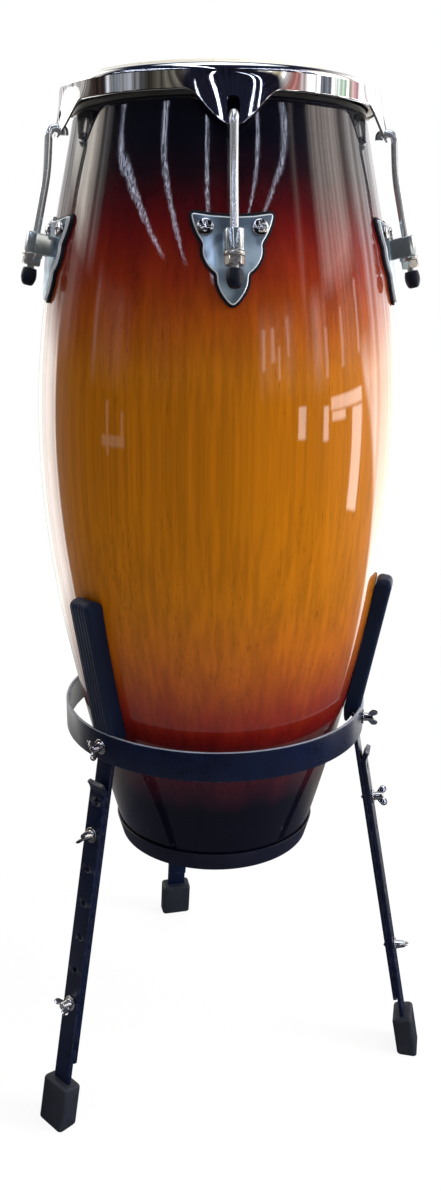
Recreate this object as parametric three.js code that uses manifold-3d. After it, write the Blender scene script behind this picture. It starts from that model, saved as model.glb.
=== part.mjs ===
// A conga in a ring stand with three adjustable legs, each piece a closed solid of its own.
// Lengths are in millimetres and Z is up. The drum stands on the Z axis, with the floor at z = 0,
// until the last step moves the whole so that the middle of its underside is the origin.
// In a station's own frame, x points away from the drum's axis and y runs along its surface.
import * as THREE from "three";
import { mergeVertices, toCreasedNormals } from "three/addons/utils/BufferGeometryUtils.js";
import Module from "manifold-3d";

const wasm = await Module();
wasm.setup();

// Clearances
const clearance = 0.3; // between two pieces that touch in use
const running_clearance = 0.6; // round a piece that slides or turns

// Drum shell and its bottom band
const drum_height = 762; // underside of the band to the crown of the head
const drum_base_height = 261.6; // underside of the band above the floor
const belly_radius = 178.4;
const profile_shares = [
  0.563, 0.679, 0.785, 0.876, 0.947, 0.99, 1.0, 0.971, 0.905, 0.817, 0.734,
]; // outer radius at equal steps of height, as shares of the belly's
const shell_wall = 10;
const bearing_edge_radius = 5;
const band_height = 20.9;
const band_thickness = 2.3;
const band_lip = 7; // how far the band turns in under the shell

// Head, flesh hoop and rim
const head_thickness = 1.6;
const tuning_travel = 5; // how far the rim can be drawn down
const hoop_width = 6.6;
const hoop_height = 13.5;
const rim_sheet = 2.5;
const rim_roll_radius = 6.5;
const rim_lip = 2.4; // flat part of the rolled-in top
const rim_top_drop = 4.6; // crown to the top of the rim
const rim_height = 21;
const ear_drop = 28; // lower edge of the rim to the tip of an ear
const ear_half_width = 38;
const ear_swell = 8.5; // how far an ear stands out beyond the rim's band
const ear_swell_half_width = 58;
const ear_hole_radius = 5.3; // half the width of the upright hole in an ear
const ear_hole_length = 8; // between the middles of its round ends
const ear_hole_rise = 10; // tip of the ear to the middle of the hole's lower end

// Side plates, lugs and what bolts them on
const lug_count = 5;
const lug_start_angle = 4; // degrees from the front, towards +X
const plate_drop = 119.2; // crown to the plate's top corners
const plate_width = 68.3;
const plate_height = 73.4;
const plate_thickness = 2.4;
const plate_outline_shares = [
  [0, 0.046], [0.5, 0.034], [1, 0], [0.865, 0.215], [0.703, 0.332], [0.728, 0.395],
  [0.712, 0.465], [0.624, 0.55], [0.381, 0.653], [0.38, 0.75], [0.293, 0.854], [0.123, 0.959],
  [0, 1],
]; // half of the outline: shares of half the width, then of the height below the corners
const gasket_thickness = 2.5;
const gasket_margin = 2.4;
const bolt_offset = 21.8;
const bolt_drop = 12.5;
const bolt_radius = 3;
const bolt_head_radius = 7;
const bolt_head_height = 3.2;
const backing_length = 64;
const backing_width = 18;
const backing_thickness = 2.5;
const backing_nut_radius = 5.6;
const backing_nut_height = 5;
const lug_drop = 22.5; // plate's top corners to the middle of the lug
const lug_reach = 20.4; // shell to the axis of the rod
const lug_width = 16.4;
const lug_height = 18;
const lug_strap = 3.6;

// Tuning rods, nuts and caps
const rod_radius = 3.6;
const rod_bend_drop = 28; // tip of the ear to the bend of the rod
const rod_bend_out = 3; // how far the bend stands out beyond the hook
const rod_bend_length = 14;
const hook_reach = 2.6; // ear to the rod outside it
const hook_radius = 6.5;
const hook_tip_radius = 4.2;
const hook_tip_length = 1.5;
const hook_ear_gap = 1.5; // ear to the tip inside it, which moves out as the rod is drawn down
const nut_flange_radius = 9;
const nut_flange_height = 3.4;
const nut_radius = 8.6; // to its corners
const nut_height = 7;
const nut_cap_gap = 2.5;
const cap_radius = 7;
const cap_height = 15.5;
const cap_grip = 10; // how much of the rod is in the cap

// Stand ring, bars and arm sleeves
const leg_angles = [-44.5, 78, 193.5]; // degrees from the front, towards +X, as photographed
const ring_base_height = 391.4; // lower edge of the ring above the floor
const ring_height = 30.4;
const ring_thickness = 3.5;
const arm_standoff = 12.3; // shell to the middle of the bar
const bar_width = 23;
const bar_thickness = 4.5;
const sleeve_length = 140;
const sleeve_width = 31;
const sleeve_cover = 2.8; // rubber outside the bar
const sleeve_corner = 4;
const sleeve_top = 9; // rubber above the end of the bar

// Legs and feet
const leg_lean = 10.6; // degrees
const leg_top_drop = 30.4; // ring's lower edge to the top of the lower leg, below its bent tab
const tab_length = 9;
const tab_angle = 37; // degrees from the leg
const hole_radius = 3.1;
const hole_count = 7;
const first_hole = 11; // top of the lower leg to the first hole
const last_hole_rise = 87.3; // foot to the last hole
const slot_length = 9; // the first hole is long
const screw_holes = [1, 6]; // which of the holes, from 0, hold the wing screws
const foot_height = 47;
const foot_width = 37;
const foot_depth = 22;
const foot_corner = 4;
const foot_sole = 10; // rubber under the end of the leg
const upper_leg_gap = 22; // foot to the end of the upper leg

// Wing screws
const screw_radius = 2.7;
const screw_washer_radius = 6.4;
const screw_washer_height = 1.6;
const screw_hub_radius = 4.6;
const screw_hub_height = 10.5;
const screw_end = 3; // thread beyond the last bar
const wing_span = 22;
const wing_height = 14.5;
const wing_thickness = 2.2;
const wing_turns = [20, -35, 65]; // degrees, for the ring's, the upper and the lower screw

// Facets
const round_sides = 40; // a multiple of the lugs, so that their plates lie along its facets
const small_sides = 10;
const bolt_sides = 8;
const hole_steps = 4; // in each half of a hole through a bar
const rim_columns_ear = 10;
const rim_columns_plain = 6;
const skirt_shares = [0.17, 0.34, 0.65, 1]; // down the rim, from its roll to its lower edge

const X = new THREE.Vector3(1, 0, 0);
const Y = new THREE.Vector3(0, 1, 0);
const Z = new THREE.Vector3(0, 0, 1);
const rad = THREE.MathUtils.degToRad;
const facet = Math.PI / round_sides; // half of the angle that a facet spans
const v2 = (x, y) => new THREE.Vector2(x, y);
const v3 = (x, y, z) => new THREE.Vector3(x, y, z);

// Heights and radii that several pieces share
const drum_top = drum_base_height + drum_height;
const shell_base = drum_base_height + band_thickness + clearance;
const shell_top = drum_top - head_thickness - clearance;
const profile_step = drum_height / (profile_shares.length - 1);
const profile_row = (i) => [belly_radius * profile_shares[i], drum_base_height + i * profile_step];

// Outer radius of the shell at a height, along straight lines between every stride-th row.
function radiusAt(z, stride = 1) {
  const spans = (profile_shares.length - 1) / stride;
  const t = (z - drum_base_height) / (profile_step * stride);
  const i = THREE.MathUtils.clamp(Math.floor(t), 0, spans - 1);
  const low = profile_row(i * stride)[0];
  const high = profile_row((i + 1) * stride)[0];
  return low + (high - low) * (t - i);
}

// The shell's profile between two heights, moved outwards by an offset.
function profileBetween(z0, z1, offset = 0, stride = 1) {
  const rows = profile_shares.map((_, i) => i).filter((i) => i % stride === 0);
  const inside = rows.map((i) => profile_row(i)[1]).filter((z) => z > z0 && z < z1);
  return [z0, ...inside, z1].map((z) => v2(radiusAt(z, stride) + offset, z));
}

const slopeAt = (z) =>
  Math.atan2(radiusAt(z - plate_height / 4) - radiusAt(z + plate_height / 4), plate_height / 2);

// The middle of the arc that rounds the shell's upper edge, which the head bends over.
const bearing_edge = v2(0, shell_top - bearing_edge_radius);
bearing_edge.x = radiusAt(bearing_edge.y) - bearing_edge_radius;

// The head's collar, the hoop outside it, and the rim outside that.
const rim_top = drum_top - rim_top_drop;
const rim_base = rim_top - rim_height;
const swell_top = rim_top - rim_roll_radius; // below it the rim swells out round its ears
const hoop_top = rim_top - rim_sheet - clearance;
const collar_base = hoop_top - hoop_height - clearance - head_thickness;
const collar_radius = radiusAt(collar_base - tuning_travel) + clearance;
const hoop_radius = collar_radius + head_thickness + clearance; // its inside
const rim_radius = hoop_radius + hoop_width + running_clearance + rim_sheet;
const ear_tip = rim_base - ear_drop;

// The middle of an ear's hole, the hook in it, and the line of the rod below.
const ear_hole_height = ear_tip + ear_hole_rise;
const ear_hole_flat = ear_hole_radius * Math.cos(Math.PI / (2 * hole_steps));
const hook_height = ear_hole_height - (ear_hole_flat - rod_radius - clearance);
const rod_top_radius = rim_radius + ear_swell + hook_reach + rod_radius;
const hook_tip = rim_radius + ear_swell - rim_sheet - hook_ear_gap - rod_radius;
const plate_top = drum_top - plate_drop;
const lug_point = v2(radiusAt(plate_top - lug_drop) + lug_reach, plate_top - lug_drop);
const rod_bend = v2(rod_top_radius + rod_bend_out, ear_tip - rod_bend_drop);
const rod_along = rod_bend.clone().sub(lug_point).normalize();
const rod_across = v2(rod_along.y, -rod_along.x); // away from the drum

// Distances from the shell to the faces of a gasket and a plate, and down a rod from its lug.
const gasket_inner = clearance;
const gasket_outer = gasket_inner + gasket_thickness;
const plate_inner = gasket_outer + clearance;
const plate_outer = plate_inner + plate_thickness;
const nut_start = lug_height / 2 + clearance;
const nut_end = nut_start + nut_flange_height + nut_height;
const cap_start = nut_end + nut_cap_gap;

// The middle line of the bars, as points of radius and height.
const ring_top = ring_base_height + ring_height;
const ring_middle = ring_base_height + ring_height / 2;
const arm_top = ring_top + sleeve_length;
const arm_low = v2(radiusAt(ring_top) + arm_standoff, ring_top);
const arm_high = v2(radiusAt(arm_top) + arm_standoff, arm_top);
const arm_along = arm_high.clone().sub(arm_low).normalize();
const arm_across = v2(arm_along.y, -arm_along.x);
const knee = v2(arm_low.x, ring_base_height);
const leg_down = v2(Math.sin(rad(leg_lean)), -Math.cos(rad(leg_lean)));
const leg_out = v2(Math.cos(rad(leg_lean)), Math.sin(rad(leg_lean)));
const ring_inner =
  (Math.hypot(arm_low.x + bar_thickness / 2, bar_width / 2) + clearance) / Math.cos(facet);
const ring_outer = ring_inner + ring_thickness;
const on = (point, direction, distance) => point.clone().addScaledVector(direction, distance);

// The lower leg lies outside the upper one, and its foot ends at the floor.
const leg_top_height = ring_base_height - leg_top_drop;
const lower_line = on(knee, leg_out, bar_thickness + clearance);
const lower_top = on(lower_line, leg_down, (lower_line.y - leg_top_height) / -leg_down.y);
const lower_length = (leg_top_height - foot_sole) / -leg_down.y;
const leg_length_to_floor = leg_top_height / -leg_down.y;
const foot_start = leg_length_to_floor - foot_height;
// The holes are spread evenly, and a leg slides out by one of their steps.
const hole_pitch = (foot_start - last_hole_rise - first_hole) / (hole_count - 1);
const hole_at = (i) => on(lower_top, leg_down, first_hole + i * hole_pitch);

// A closed solid from geometry whose faces all point out.
function solid(geometry) {
  const bare = new THREE.BufferGeometry();
  const flat = geometry.index ? geometry.toNonIndexed() : geometry;
  bare.setAttribute("position", flat.getAttribute("position"));
  const merged = mergeVertices(bare);
  return new wasm.Manifold(
    new wasm.Mesh({
      numProp: 3,
      vertProperties: merged.attributes.position.array,
      triVerts: new Uint32Array(merged.index.array),
    }),
  );
}

// A solid from a grid of rings of points; each ring is closed, and so is the row of rings.
function ringSolid(rings) {
  const points = [];
  rings.forEach((ring, j) => {
    const next = rings[(j + 1) % rings.length];
    ring.forEach((p, i) => {
      const k = (i + 1) % ring.length;
      points.push(p, next[i], next[k], p, next[k], ring[k]);
    });
  });
  return solid(new THREE.BufferGeometry().setFromPoints(points));
}

// A solid of revolution about Z. The profile is a loop of (radius, height) points, and phase is
// the angle of its first facet's edge.
function revolve(profile, sides = round_sides, phase = 0) {
  const loop = THREE.ShapeUtils.isClockWise(profile) ? [...profile].reverse() : [...profile];
  const g = new THREE.LatheGeometry([...loop, loop[0]], sides);
  return solid(g.rotateX(Math.PI / 2).rotateZ(phase));
}

// A shape drawn along two axes and drawn out square to both.
function prism(points, from, to, xAxis, yAxis, origin = v3(0, 0, 0), holes = []) {
  const shape = new THREE.Shape(points);
  shape.holes = holes.map((h) => new THREE.Path(h));
  const g = new THREE.ExtrudeGeometry(shape, { depth: to - from, bevelEnabled: false });
  const frame = new THREE.Matrix4().makeBasis(xAxis, yAxis, v3(0, 0, 0).crossVectors(xAxis, yAxis));
  return solid(g.translate(0, 0, from).applyMatrix4(frame.setPosition(origin)));
}

// A side view in (radius, height), drawn out to a width along y.
const barFrom = (outline, width) => prism(outline, -width / 2, width / 2, X, Z);

// A cylinder from one point to another, both in a station's frame.
function pin(from, to, radius, sides = small_sides) {
  const axis = to.clone().sub(from);
  const g = new THREE.CylinderGeometry(radius, radius, axis.length(), sides);
  g.translate(0, axis.length() / 2, 0);
  const turn = new THREE.Quaternion().setFromUnitVectors(Y, axis.normalize());
  return solid(g.applyQuaternion(turn).translate(from.x, from.y, from.z));
}

// Points of an arc in steps, from one angle to another in degrees.
function arc(centre, radius, from, to, steps) {
  return Array.from({ length: steps + 1 }, (_, i) => {
    const a = rad(from + ((to - from) * i) / steps);
    return v2(centre.x + radius * Math.cos(a), centre.y + radius * Math.sin(a));
  });
}

const rectangle = (w, h) => [
  v2(-w / 2, -h / 2), v2(w / 2, -h / 2), v2(w / 2, h / 2), v2(-w / 2, h / 2),
];

function roundedRectangle(w, h, corner, steps = 3) {
  const cx = w / 2 - corner;
  const cy = h / 2 - corner;
  return [
    ...arc(v2(cx, -cy), corner, -90, 0, steps),
    ...arc(v2(cx, cy), corner, 0, 90, steps),
    ...arc(v2(-cx, cy), corner, 90, 180, steps),
    ...arc(v2(-cx, -cy), corner, 180, 270, steps),
  ];
}

// A slot's outline, drawn out along its first axis by a length between the two end centres.
function slotOutline(radius, length) {
  return [
    ...arc(v2(length, 0), radius, -90, 90, hole_steps),
    ...arc(v2(0, 0), radius, 90, 270, hole_steps),
  ];
}

// The outline of a flat bar that follows a bent line, with a thickness across it.
function bentOutline(line, thickness) {
  const side = (sign) =>
    line.map((p, i) => {
      const before = i > 0 ? p.clone().sub(line[i - 1]).normalize() : null;
      const after = i < line.length - 1 ? line[i + 1].clone().sub(p).normalize() : null;
      const along = (before ?? after).clone().add(after ?? before).normalize();
      const stretch = before && after ? along.dot(before) : 1;
      const across = v2(along.y, -along.x);
      return on(p, across, (sign * thickness) / 2 / stretch);
    });
  return [...side(1), ...side(-1).reverse()];
}

// A round bar along a bent line in the (radius, height) plane.
function roundBar(line, radius, sides = 8) {
  const rings = line.map((p, i) => {
    const along = line[Math.min(i + 1, line.length - 1)]
      .clone()
      .sub(line[Math.max(i - 1, 0)])
      .normalize();
    return Array.from({ length: sides }, (_, k) => {
      const a = (2 * Math.PI * k) / sides;
      const across = radius * Math.cos(a);
      return v3(p.x + along.y * across, radius * Math.sin(a), p.y - along.x * across);
    });
  });
  const triangles = [];
  rings.slice(1).forEach((next, j) => {
    rings[j].forEach((p, i) => {
      const k = (i + 1) % sides;
      triangles.push(p, rings[j][k], next[k], p, next[k], next[i]);
    });
  });
  const first = rings[0];
  const last = rings[rings.length - 1];
  for (let i = 1; i < sides - 1; i += 1) {
    triangles.push(first[0], first[i + 1], first[i], last[0], last[i], last[i + 1]);
  }
  return solid(new THREE.BufferGeometry().setFromPoints(triangles));
}

// A solid moved to a point and turned so that its z runs along a direction in a station's frame.
function placed(made, point, direction, turn = 0) {
  const g = geometryOf(made).rotateZ(turn);
  const q = new THREE.Quaternion().setFromUnitVectors(Z, direction);
  return solid(g.applyQuaternion(q).translate(point.x, point.y, point.z));
}

function geometryOf(made) {
  const m = made.getMesh();
  const g = new THREE.BufferGeometry();
  g.setAttribute("position", new THREE.BufferAttribute(new Float32Array(m.vertProperties), 3));
  g.setIndex(new THREE.BufferAttribute(new Uint32Array(m.triVerts), 1));
  return g;
}

const finishes = {
  lacquered_wood: [0xc4670f, 0.15, 0],
  black_band: [0x141416, 0.45, 0],
  skin: [0xe8e0cc, 0.55, 0],
  steel: [0xb9bcc0, 0.35, 1],
  chrome: [0xdfe2e6, 0.08, 1],
  zinc: [0xc9c6be, 0.28, 1],
  rubber: [0x121317, 0.8, 0],
  black_paint: [0x17181d, 0.42, 0.3],
};

// One named mesh of a solid, with a material of its own.
function piece(name, made, finish) {
  const [color, roughness, metalness] = finishes[finish];
  const material = new THREE.MeshStandardMaterial({ color, roughness, metalness });
  const mesh = new THREE.Mesh(toCreasedNormals(geometryOf(made), rad(35)), material);
  mesh.name = name;
  return mesh;
}

// The drum's own pieces

function lugHoles() {
  const cutters = [];
  for (let i = 0; i < lug_count; i += 1) {
    const turn = lugAngle(i);
    boltPlaces().forEach(({ point, out }) => {
      const reach = shell_wall * 2;
      const hole = pin(on(point, out, -reach), on(point, out, reach), bolt_radius + clearance, bolt_sides);
      cutters.push(solid(geometryOf(hole).rotateZ(turn)));
    });
  }
  return cutters;
}

function drumShell() {
  const outer = profileBetween(shell_base, bearing_edge.y);
  const edge = arc(bearing_edge, bearing_edge_radius, 30, 90, 2);
  const inner_top = shell_top - (shell_wall - bearing_edge_radius);
  const inner = profileBetween(shell_base, inner_top, -shell_wall, 2).reverse();
  let made = revolve([...outer, ...edge, ...inner]);
  lugHoles().forEach((cutter) => (made = made.subtract(cutter)));
  return piece("drum_shell", made, "lacquered_wood");
}

function bottomBand() {
  const top = drum_base_height + band_height;
  const foot = drum_base_height;
  const outside = profileBetween(foot, top, clearance + band_thickness);
  const inside = profileBetween(shell_base - clearance, top, clearance).reverse();
  const lip = radiusAt(foot) - band_lip;
  const under = [v2(lip, shell_base - clearance), v2(lip, foot)];
  return piece("bottom_band", revolve([...outside, ...inside, ...under]), "black_band");
}

function drumHead() {
  const inner_radius = bearing_edge_radius + clearance;
  const outer_radius = inner_radius + head_thickness;
  const flange = hoop_radius + hoop_width * 0.8;
  const made = revolve([
    v2(0, drum_top - head_thickness),
    ...arc(bearing_edge, inner_radius, 90, 0, 3),
    v2(collar_radius, collar_base),
    v2(flange, collar_base),
    v2(flange, collar_base + head_thickness),
    v2(collar_radius + head_thickness, collar_base + head_thickness),
    ...arc(bearing_edge, outer_radius, 0, 90, 3),
    v2(0, drum_top),
  ]);
  return piece("drum_head", made, "skin");
}

function fleshHoop() {
  const chamfer = (rim_roll_radius - rim_sheet) * 0.85;
  const base = hoop_top - hoop_height;
  const outside = hoop_radius + hoop_width;
  const made = revolve([
    v2(hoop_radius, base),
    v2(outside, base),
    v2(outside, hoop_top - chamfer),
    v2(outside - chamfer, hoop_top),
    v2(hoop_radius, hoop_top),
  ]);
  return piece("flesh_hoop", made, "steel");
}

// How far the rim's lower edge hangs at an angle from the nearest ear: a raised cosine.
function earDropAt(angle) {
  const share = Math.min((Math.abs(angle) * rim_radius) / ear_half_width, 1);
  return ear_drop * Math.cos((share * Math.PI) / 2) ** 2;
}

// How far the rim swells out at an angle from the middle of an ear and at a height.
function swellAt(angle, z) {
  const across = Math.min((Math.abs(angle) * rim_radius) / ear_swell_half_width, 1);
  const down = Math.min(Math.max((swell_top - z) / (swell_top - rim_base), 0), 1);
  return ear_swell * Math.cos((across * Math.PI) / 2) ** 2 * down * down * (3 - 2 * down);
}

// One upright slice of the rim, at an angle from the middle of the nearest ear.
function rimSlice(angle) {
  const roll = v2(rim_radius - rim_roll_radius, rim_top - rim_roll_radius);
  const low = rim_base - earDropAt(angle);
  const heights = skirt_shares.map((s) => swell_top + (low - swell_top) * s);
  const skirt = heights.map((z) => v2(rim_radius + swellAt(angle, z), z));
  return [
    v2(roll.x - rim_lip, rim_top - rim_sheet),
    ...arc(roll, rim_roll_radius - rim_sheet, 90, 0, 2),
    ...skirt.map((p) => v2(p.x - rim_sheet, p.y)),
    ...[...skirt].reverse(),
    ...arc(roll, rim_roll_radius, 0, 90, 3),
    v2(roll.x - rim_lip, rim_top),
  ];
}

// The angle to the nearest ear, from an angle past one ear and short of the next.
const nearestEar = (angle) => Math.min(Math.abs(angle), (2 * Math.PI) / lug_count - angle);

// The angles of the rim's slices round one ear, close together where its outline bends.
function rimAngles() {
  const half = ear_half_width / rim_radius;
  const rest = (2 * Math.PI) / lug_count - 2 * half;
  const ear = Array.from({ length: rim_columns_ear }, (_, i) => -half + (2 * half * i) / rim_columns_ear);
  const plain = Array.from({ length: rim_columns_plain }, (_, i) => half + (rest * i) / rim_columns_plain);
  return [...ear, ...plain];
}

// A cutter for the upright hole in an ear.
function earHole(i) {
  const slot = slotOutline(ear_hole_radius, ear_hole_length);
  const from = rim_radius - rim_sheet * 2;
  const to = rim_radius + ear_swell * 2;
  const made = prism(slot, from, to, Z, Y.clone().negate(), v3(0, 0, ear_hole_height));
  return solid(geometryOf(made).rotateZ(lugAngle(i)));
}

function rim() {
  const rings = [];
  for (let i = 0; i < lug_count; i += 1) {
    rimAngles().forEach((angle) => {
      const turn = lugAngle(i) + angle;
      const slice = rimSlice(nearestEar(angle));
      rings.push(slice.map((p) => v3(p.x * Math.cos(turn), p.x * Math.sin(turn), p.y)));
    });
  }
  let made = ringSolid(rings);
  for (let i = 0; i < lug_count; i += 1) made = made.subtract(earHole(i));
  return piece("rim", made, "chrome");
}

// The lug stations

const lugAngle = (i) => rad(lug_start_angle - 90 + (i * 360) / lug_count);
const legAngle = (i) => rad(leg_angles[i] - 90);

// A ring of the drum's curve between two offsets from the shell, with facets in step with it.
function coat(inner, outer, z0, z1, stride = 1) {
  const loop = [...profileBetween(z0, z1, outer, stride)];
  loop.push(...profileBetween(z0, z1, inner, stride).reverse());
  return revolve(loop, round_sides, -lugAngle(0));
}

// Where the two bolts of a plate cross the shell, and the way each points out of it.
function boltPlaces() {
  const z = plate_top - bolt_drop;
  const lean = slopeAt(z);
  return [-1, 1].map((side) => {
    const turn = (side * bolt_offset) / radiusAt(z);
    const point = v3(radiusAt(z) * Math.cos(turn), radiusAt(z) * Math.sin(turn), z);
    const flat = Math.cos(lean);
    return { point, out: v3(flat * Math.cos(turn), flat * Math.sin(turn), Math.sin(lean)) };
  });
}

function boltHoles(made, radius) {
  boltPlaces().forEach(({ point, out }) => {
    const hole = pin(on(point, out, -shell_wall), on(point, out, shell_wall), radius, bolt_sides);
    made = made.subtract(hole);
  });
  return made;
}

// The plate's outline as seen from outside, grown by a margin.
function plateOutline(margin) {
  const half = plate_outline_shares.map(([x, y]) =>
    v2((x * plate_width) / 2, plate_top - y * plate_height),
  );
  const mirrored = half.slice(1, -1).reverse().map((p) => v2(-p.x, p.y));
  const loop = [...half, ...mirrored].reverse();
  return loop.map((p, i) => {
    const before = p.clone().sub(loop[(i + loop.length - 1) % loop.length]).normalize();
    const after = loop[(i + 1) % loop.length].clone().sub(p).normalize();
    const along = before.clone().add(after).normalize();
    return on(p, v2(along.y, -along.x), margin / Math.max(along.dot(after), 0.6));
  });
}

// A plate-shaped piece of the drum's curve between two distances from the shell.
function plateShaped(inner, outer, margin) {
  const reach = gasket_margin * 2;
  const ring = coat(inner, outer, plate_top - plate_height - reach, plate_top + reach);
  const far = belly_radius * 2;
  return ring.intersect(prism(plateOutline(margin), 0, far, Y, Z));
}

// The U-shaped strap that holds the rod, seen along the rod.
function lugOutline() {
  const half = lug_width / 2;
  const inside = half - lug_strap;
  const back = -lug_reach * 1.3;
  return [
    v2(back, -half),
    ...arc(v2(0, 0), half, -90, 90, 5),
    v2(back, half),
    v2(back, inside),
    ...arc(v2(0, 0), inside, 90, -90, 3),
    v2(back, -inside),
  ];
}

function sidePlate(i) {
  const plate = boltHoles(plateShaped(plate_inner, plate_outer, 0), bolt_radius + clearance);
  const across = v3(rod_across.x, 0, rod_across.y);
  const strap = prism(
    lugOutline(), -lug_height / 2, lug_height / 2, across, Y, v3(lug_point.x, 0, lug_point.y),
  );
  const far = plate_height;
  const core = profileBetween(plate_top - far * 1.5, plate_top + far, (plate_inner + plate_outer) / 2);
  const inside = [...core, v2(0, plate_top + far), v2(0, plate_top - far * 1.5)];
  const trimmed = strap.subtract(revolve(inside, round_sides, -lugAngle(0)));
  return piece("side_plate_" + i, plate.add(trimmed), "chrome");
}

function gasket(i) {
  const made = boltHoles(plateShaped(gasket_inner, gasket_outer, gasket_margin), bolt_radius + clearance);
  return piece("gasket_" + i, made, "rubber");
}

// Two bolts through the shell, with the plate and nuts that hold them inside it.
function lugBolts(i) {
  const z = plate_top - bolt_drop;
  const inner = -shell_wall - clearance - backing_thickness;
  const ring = coat(inner, -shell_wall - clearance, z - backing_width, z + backing_width, 2);
  const shape = roundedRectangle(backing_length, backing_width, backing_width / 4, 1);
  let made = ring.intersect(prism(shape, 0, belly_radius * 2, Y, Z, v3(0, 0, z)));
  boltPlaces().forEach(({ point, out }) => {
    const head_at = plate_outer + clearance;
    const r = bolt_head_radius;
    const h = bolt_head_height;
    const end = -shell_wall - backing_thickness - backing_nut_height;
    const bolt = revolve(
      [
        v2(0, end - bolt_radius), v2(bolt_radius, end - bolt_radius), v2(bolt_radius, head_at),
        v2(r, head_at), v2(r, head_at + h * 0.35), v2(r * 0.72, head_at + h * 0.85),
        v2(0, head_at + h),
      ],
      bolt_sides,
    );
    const nut = pin(on(point, out, end), on(point, out, inner + backing_thickness / 2), backing_nut_radius, 6);
    made = made.add(placed(bolt, point, out)).add(nut);
  });
  return piece("lug_bolts_" + i, made, "zinc");
}

// The rod's middle line from its lower end, up past the bend and over the hook to its tip.
function rodLine() {
  const top = v2(rod_top_radius - hook_radius, hook_height - hook_radius);
  const drop = v2(hook_tip + hook_tip_radius, hook_height - hook_tip_radius);
  const shank = v2(rod_top_radius, top.y).sub(rod_bend).normalize();
  const from = on(rod_bend, rod_along, -rod_bend_length);
  const to = on(rod_bend, shank, rod_bend_length);
  const bend = new THREE.QuadraticBezierCurve(from, rod_bend, to).getPoints(2);
  return [
    on(lug_point, rod_along, -(cap_start + cap_grip)),
    ...bend,
    ...arc(top, hook_radius, 0, 90, 3),
    ...arc(drop, hook_tip_radius, 90, 180, 2),
    v2(hook_tip, drop.y - hook_tip_length),
  ];
}

const tuningRod = (i) => piece("tuning_rod_" + i, roundBar(rodLine(), rod_radius), "chrome");

// A piece made upright about z, hung on the rod's line at the lug with z running down the rod.
function onRod(made) {
  return placed(made, v3(lug_point.x, 0, lug_point.y), v3(-rod_along.x, 0, -rod_along.y));
}

function tuningNut(i) {
  const split = nut_start + nut_flange_height;
  const flange = arc(v2(0, 0), nut_flange_radius, 0, 360, 12).slice(0, -1);
  const hexagon = arc(v2(0, 0), nut_radius, 0, 360, 6).slice(0, -1);
  const bore = pin(v3(0, 0, 0), v3(0, 0, cap_start), rod_radius + clearance);
  const made = prism(flange, nut_start, split, X, Y).add(prism(hexagon, split, nut_end, X, Y));
  return piece("tuning_nut_" + i, onRod(made.subtract(bore)), "chrome");
}

function rodCap(i) {
  const end = cap_start + cap_height;
  const bore = rod_radius + clearance;
  const dome = arc(v2(0, end - cap_radius * 0.9), cap_radius, 0, 60, 2);
  const made = revolve(
    [
      v2(bore, cap_start), v2(cap_radius * 0.92, cap_start), v2(cap_radius, cap_start + cap_radius * 0.2),
      ...dome, v2(0, end), v2(0, cap_start + cap_grip + clearance),
      v2(bore, cap_start + cap_grip + clearance),
    ],
    bolt_sides,
  );
  return piece("rod_cap_" + i, onRod(made), "rubber");
}

// The stand

function standRing() {
  let made = revolve([
    v2(ring_inner, ring_base_height), v2(ring_outer, ring_base_height),
    v2(ring_outer, ring_top), v2(ring_inner, ring_top),
  ]);
  for (let i = 0; i < leg_angles.length; i += 1) {
    const hole = pin(v3(0, 0, ring_middle), v3(ring_outer * 2, 0, ring_middle), hole_radius);
    made = made.subtract(solid(geometryOf(hole).rotateZ(legAngle(i))));
  }
  return piece("stand_ring", made, "black_paint");
}

// One flat bar: the arm inside its sleeve, flat against the ring, then leaning out as a leg.
function upperLeg(i) {
  const end_at = foot_start - upper_leg_gap;
  const end = on(on(lower_top, leg_down, end_at), leg_out, -(bar_thickness + clearance));
  const top = on(arm_high, arm_along, -sleeve_top);
  let made = barFrom(bentOutline([top, arm_low, knee, end], bar_thickness), bar_width);
  const ring_hole = pin(v3(0, 0, ring_middle), v3(ring_outer, 0, ring_middle), hole_radius);
  made = made.subtract(ring_hole);
  screw_holes.forEach((h) => {
    const at = hole_at(h);
    const down = v3(leg_down.x, 0, leg_down.y);
    const slot = slotOutline(screw_radius + running_clearance, hole_pitch);
    const reach = bar_thickness * 3;
    made = made.subtract(prism(slot, -reach, reach, down, Y, v3(at.x, 0, at.y)));
  });
  return piece("upper_leg_" + i, made, "black_paint");
}

// How thick the sleeve is between the bar and the drum, leaving it just clear of the shell.
function padThickness() {
  const gaps = profileBetween(ring_top, arm_top).map((p) => {
    const middle = arm_low.x + ((p.y - ring_top) * arm_along.x) / arm_along.y;
    return (middle - p.x) * arm_along.y;
  });
  return Math.min(...gaps) - bar_thickness / 2 - running_clearance;
}

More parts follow.
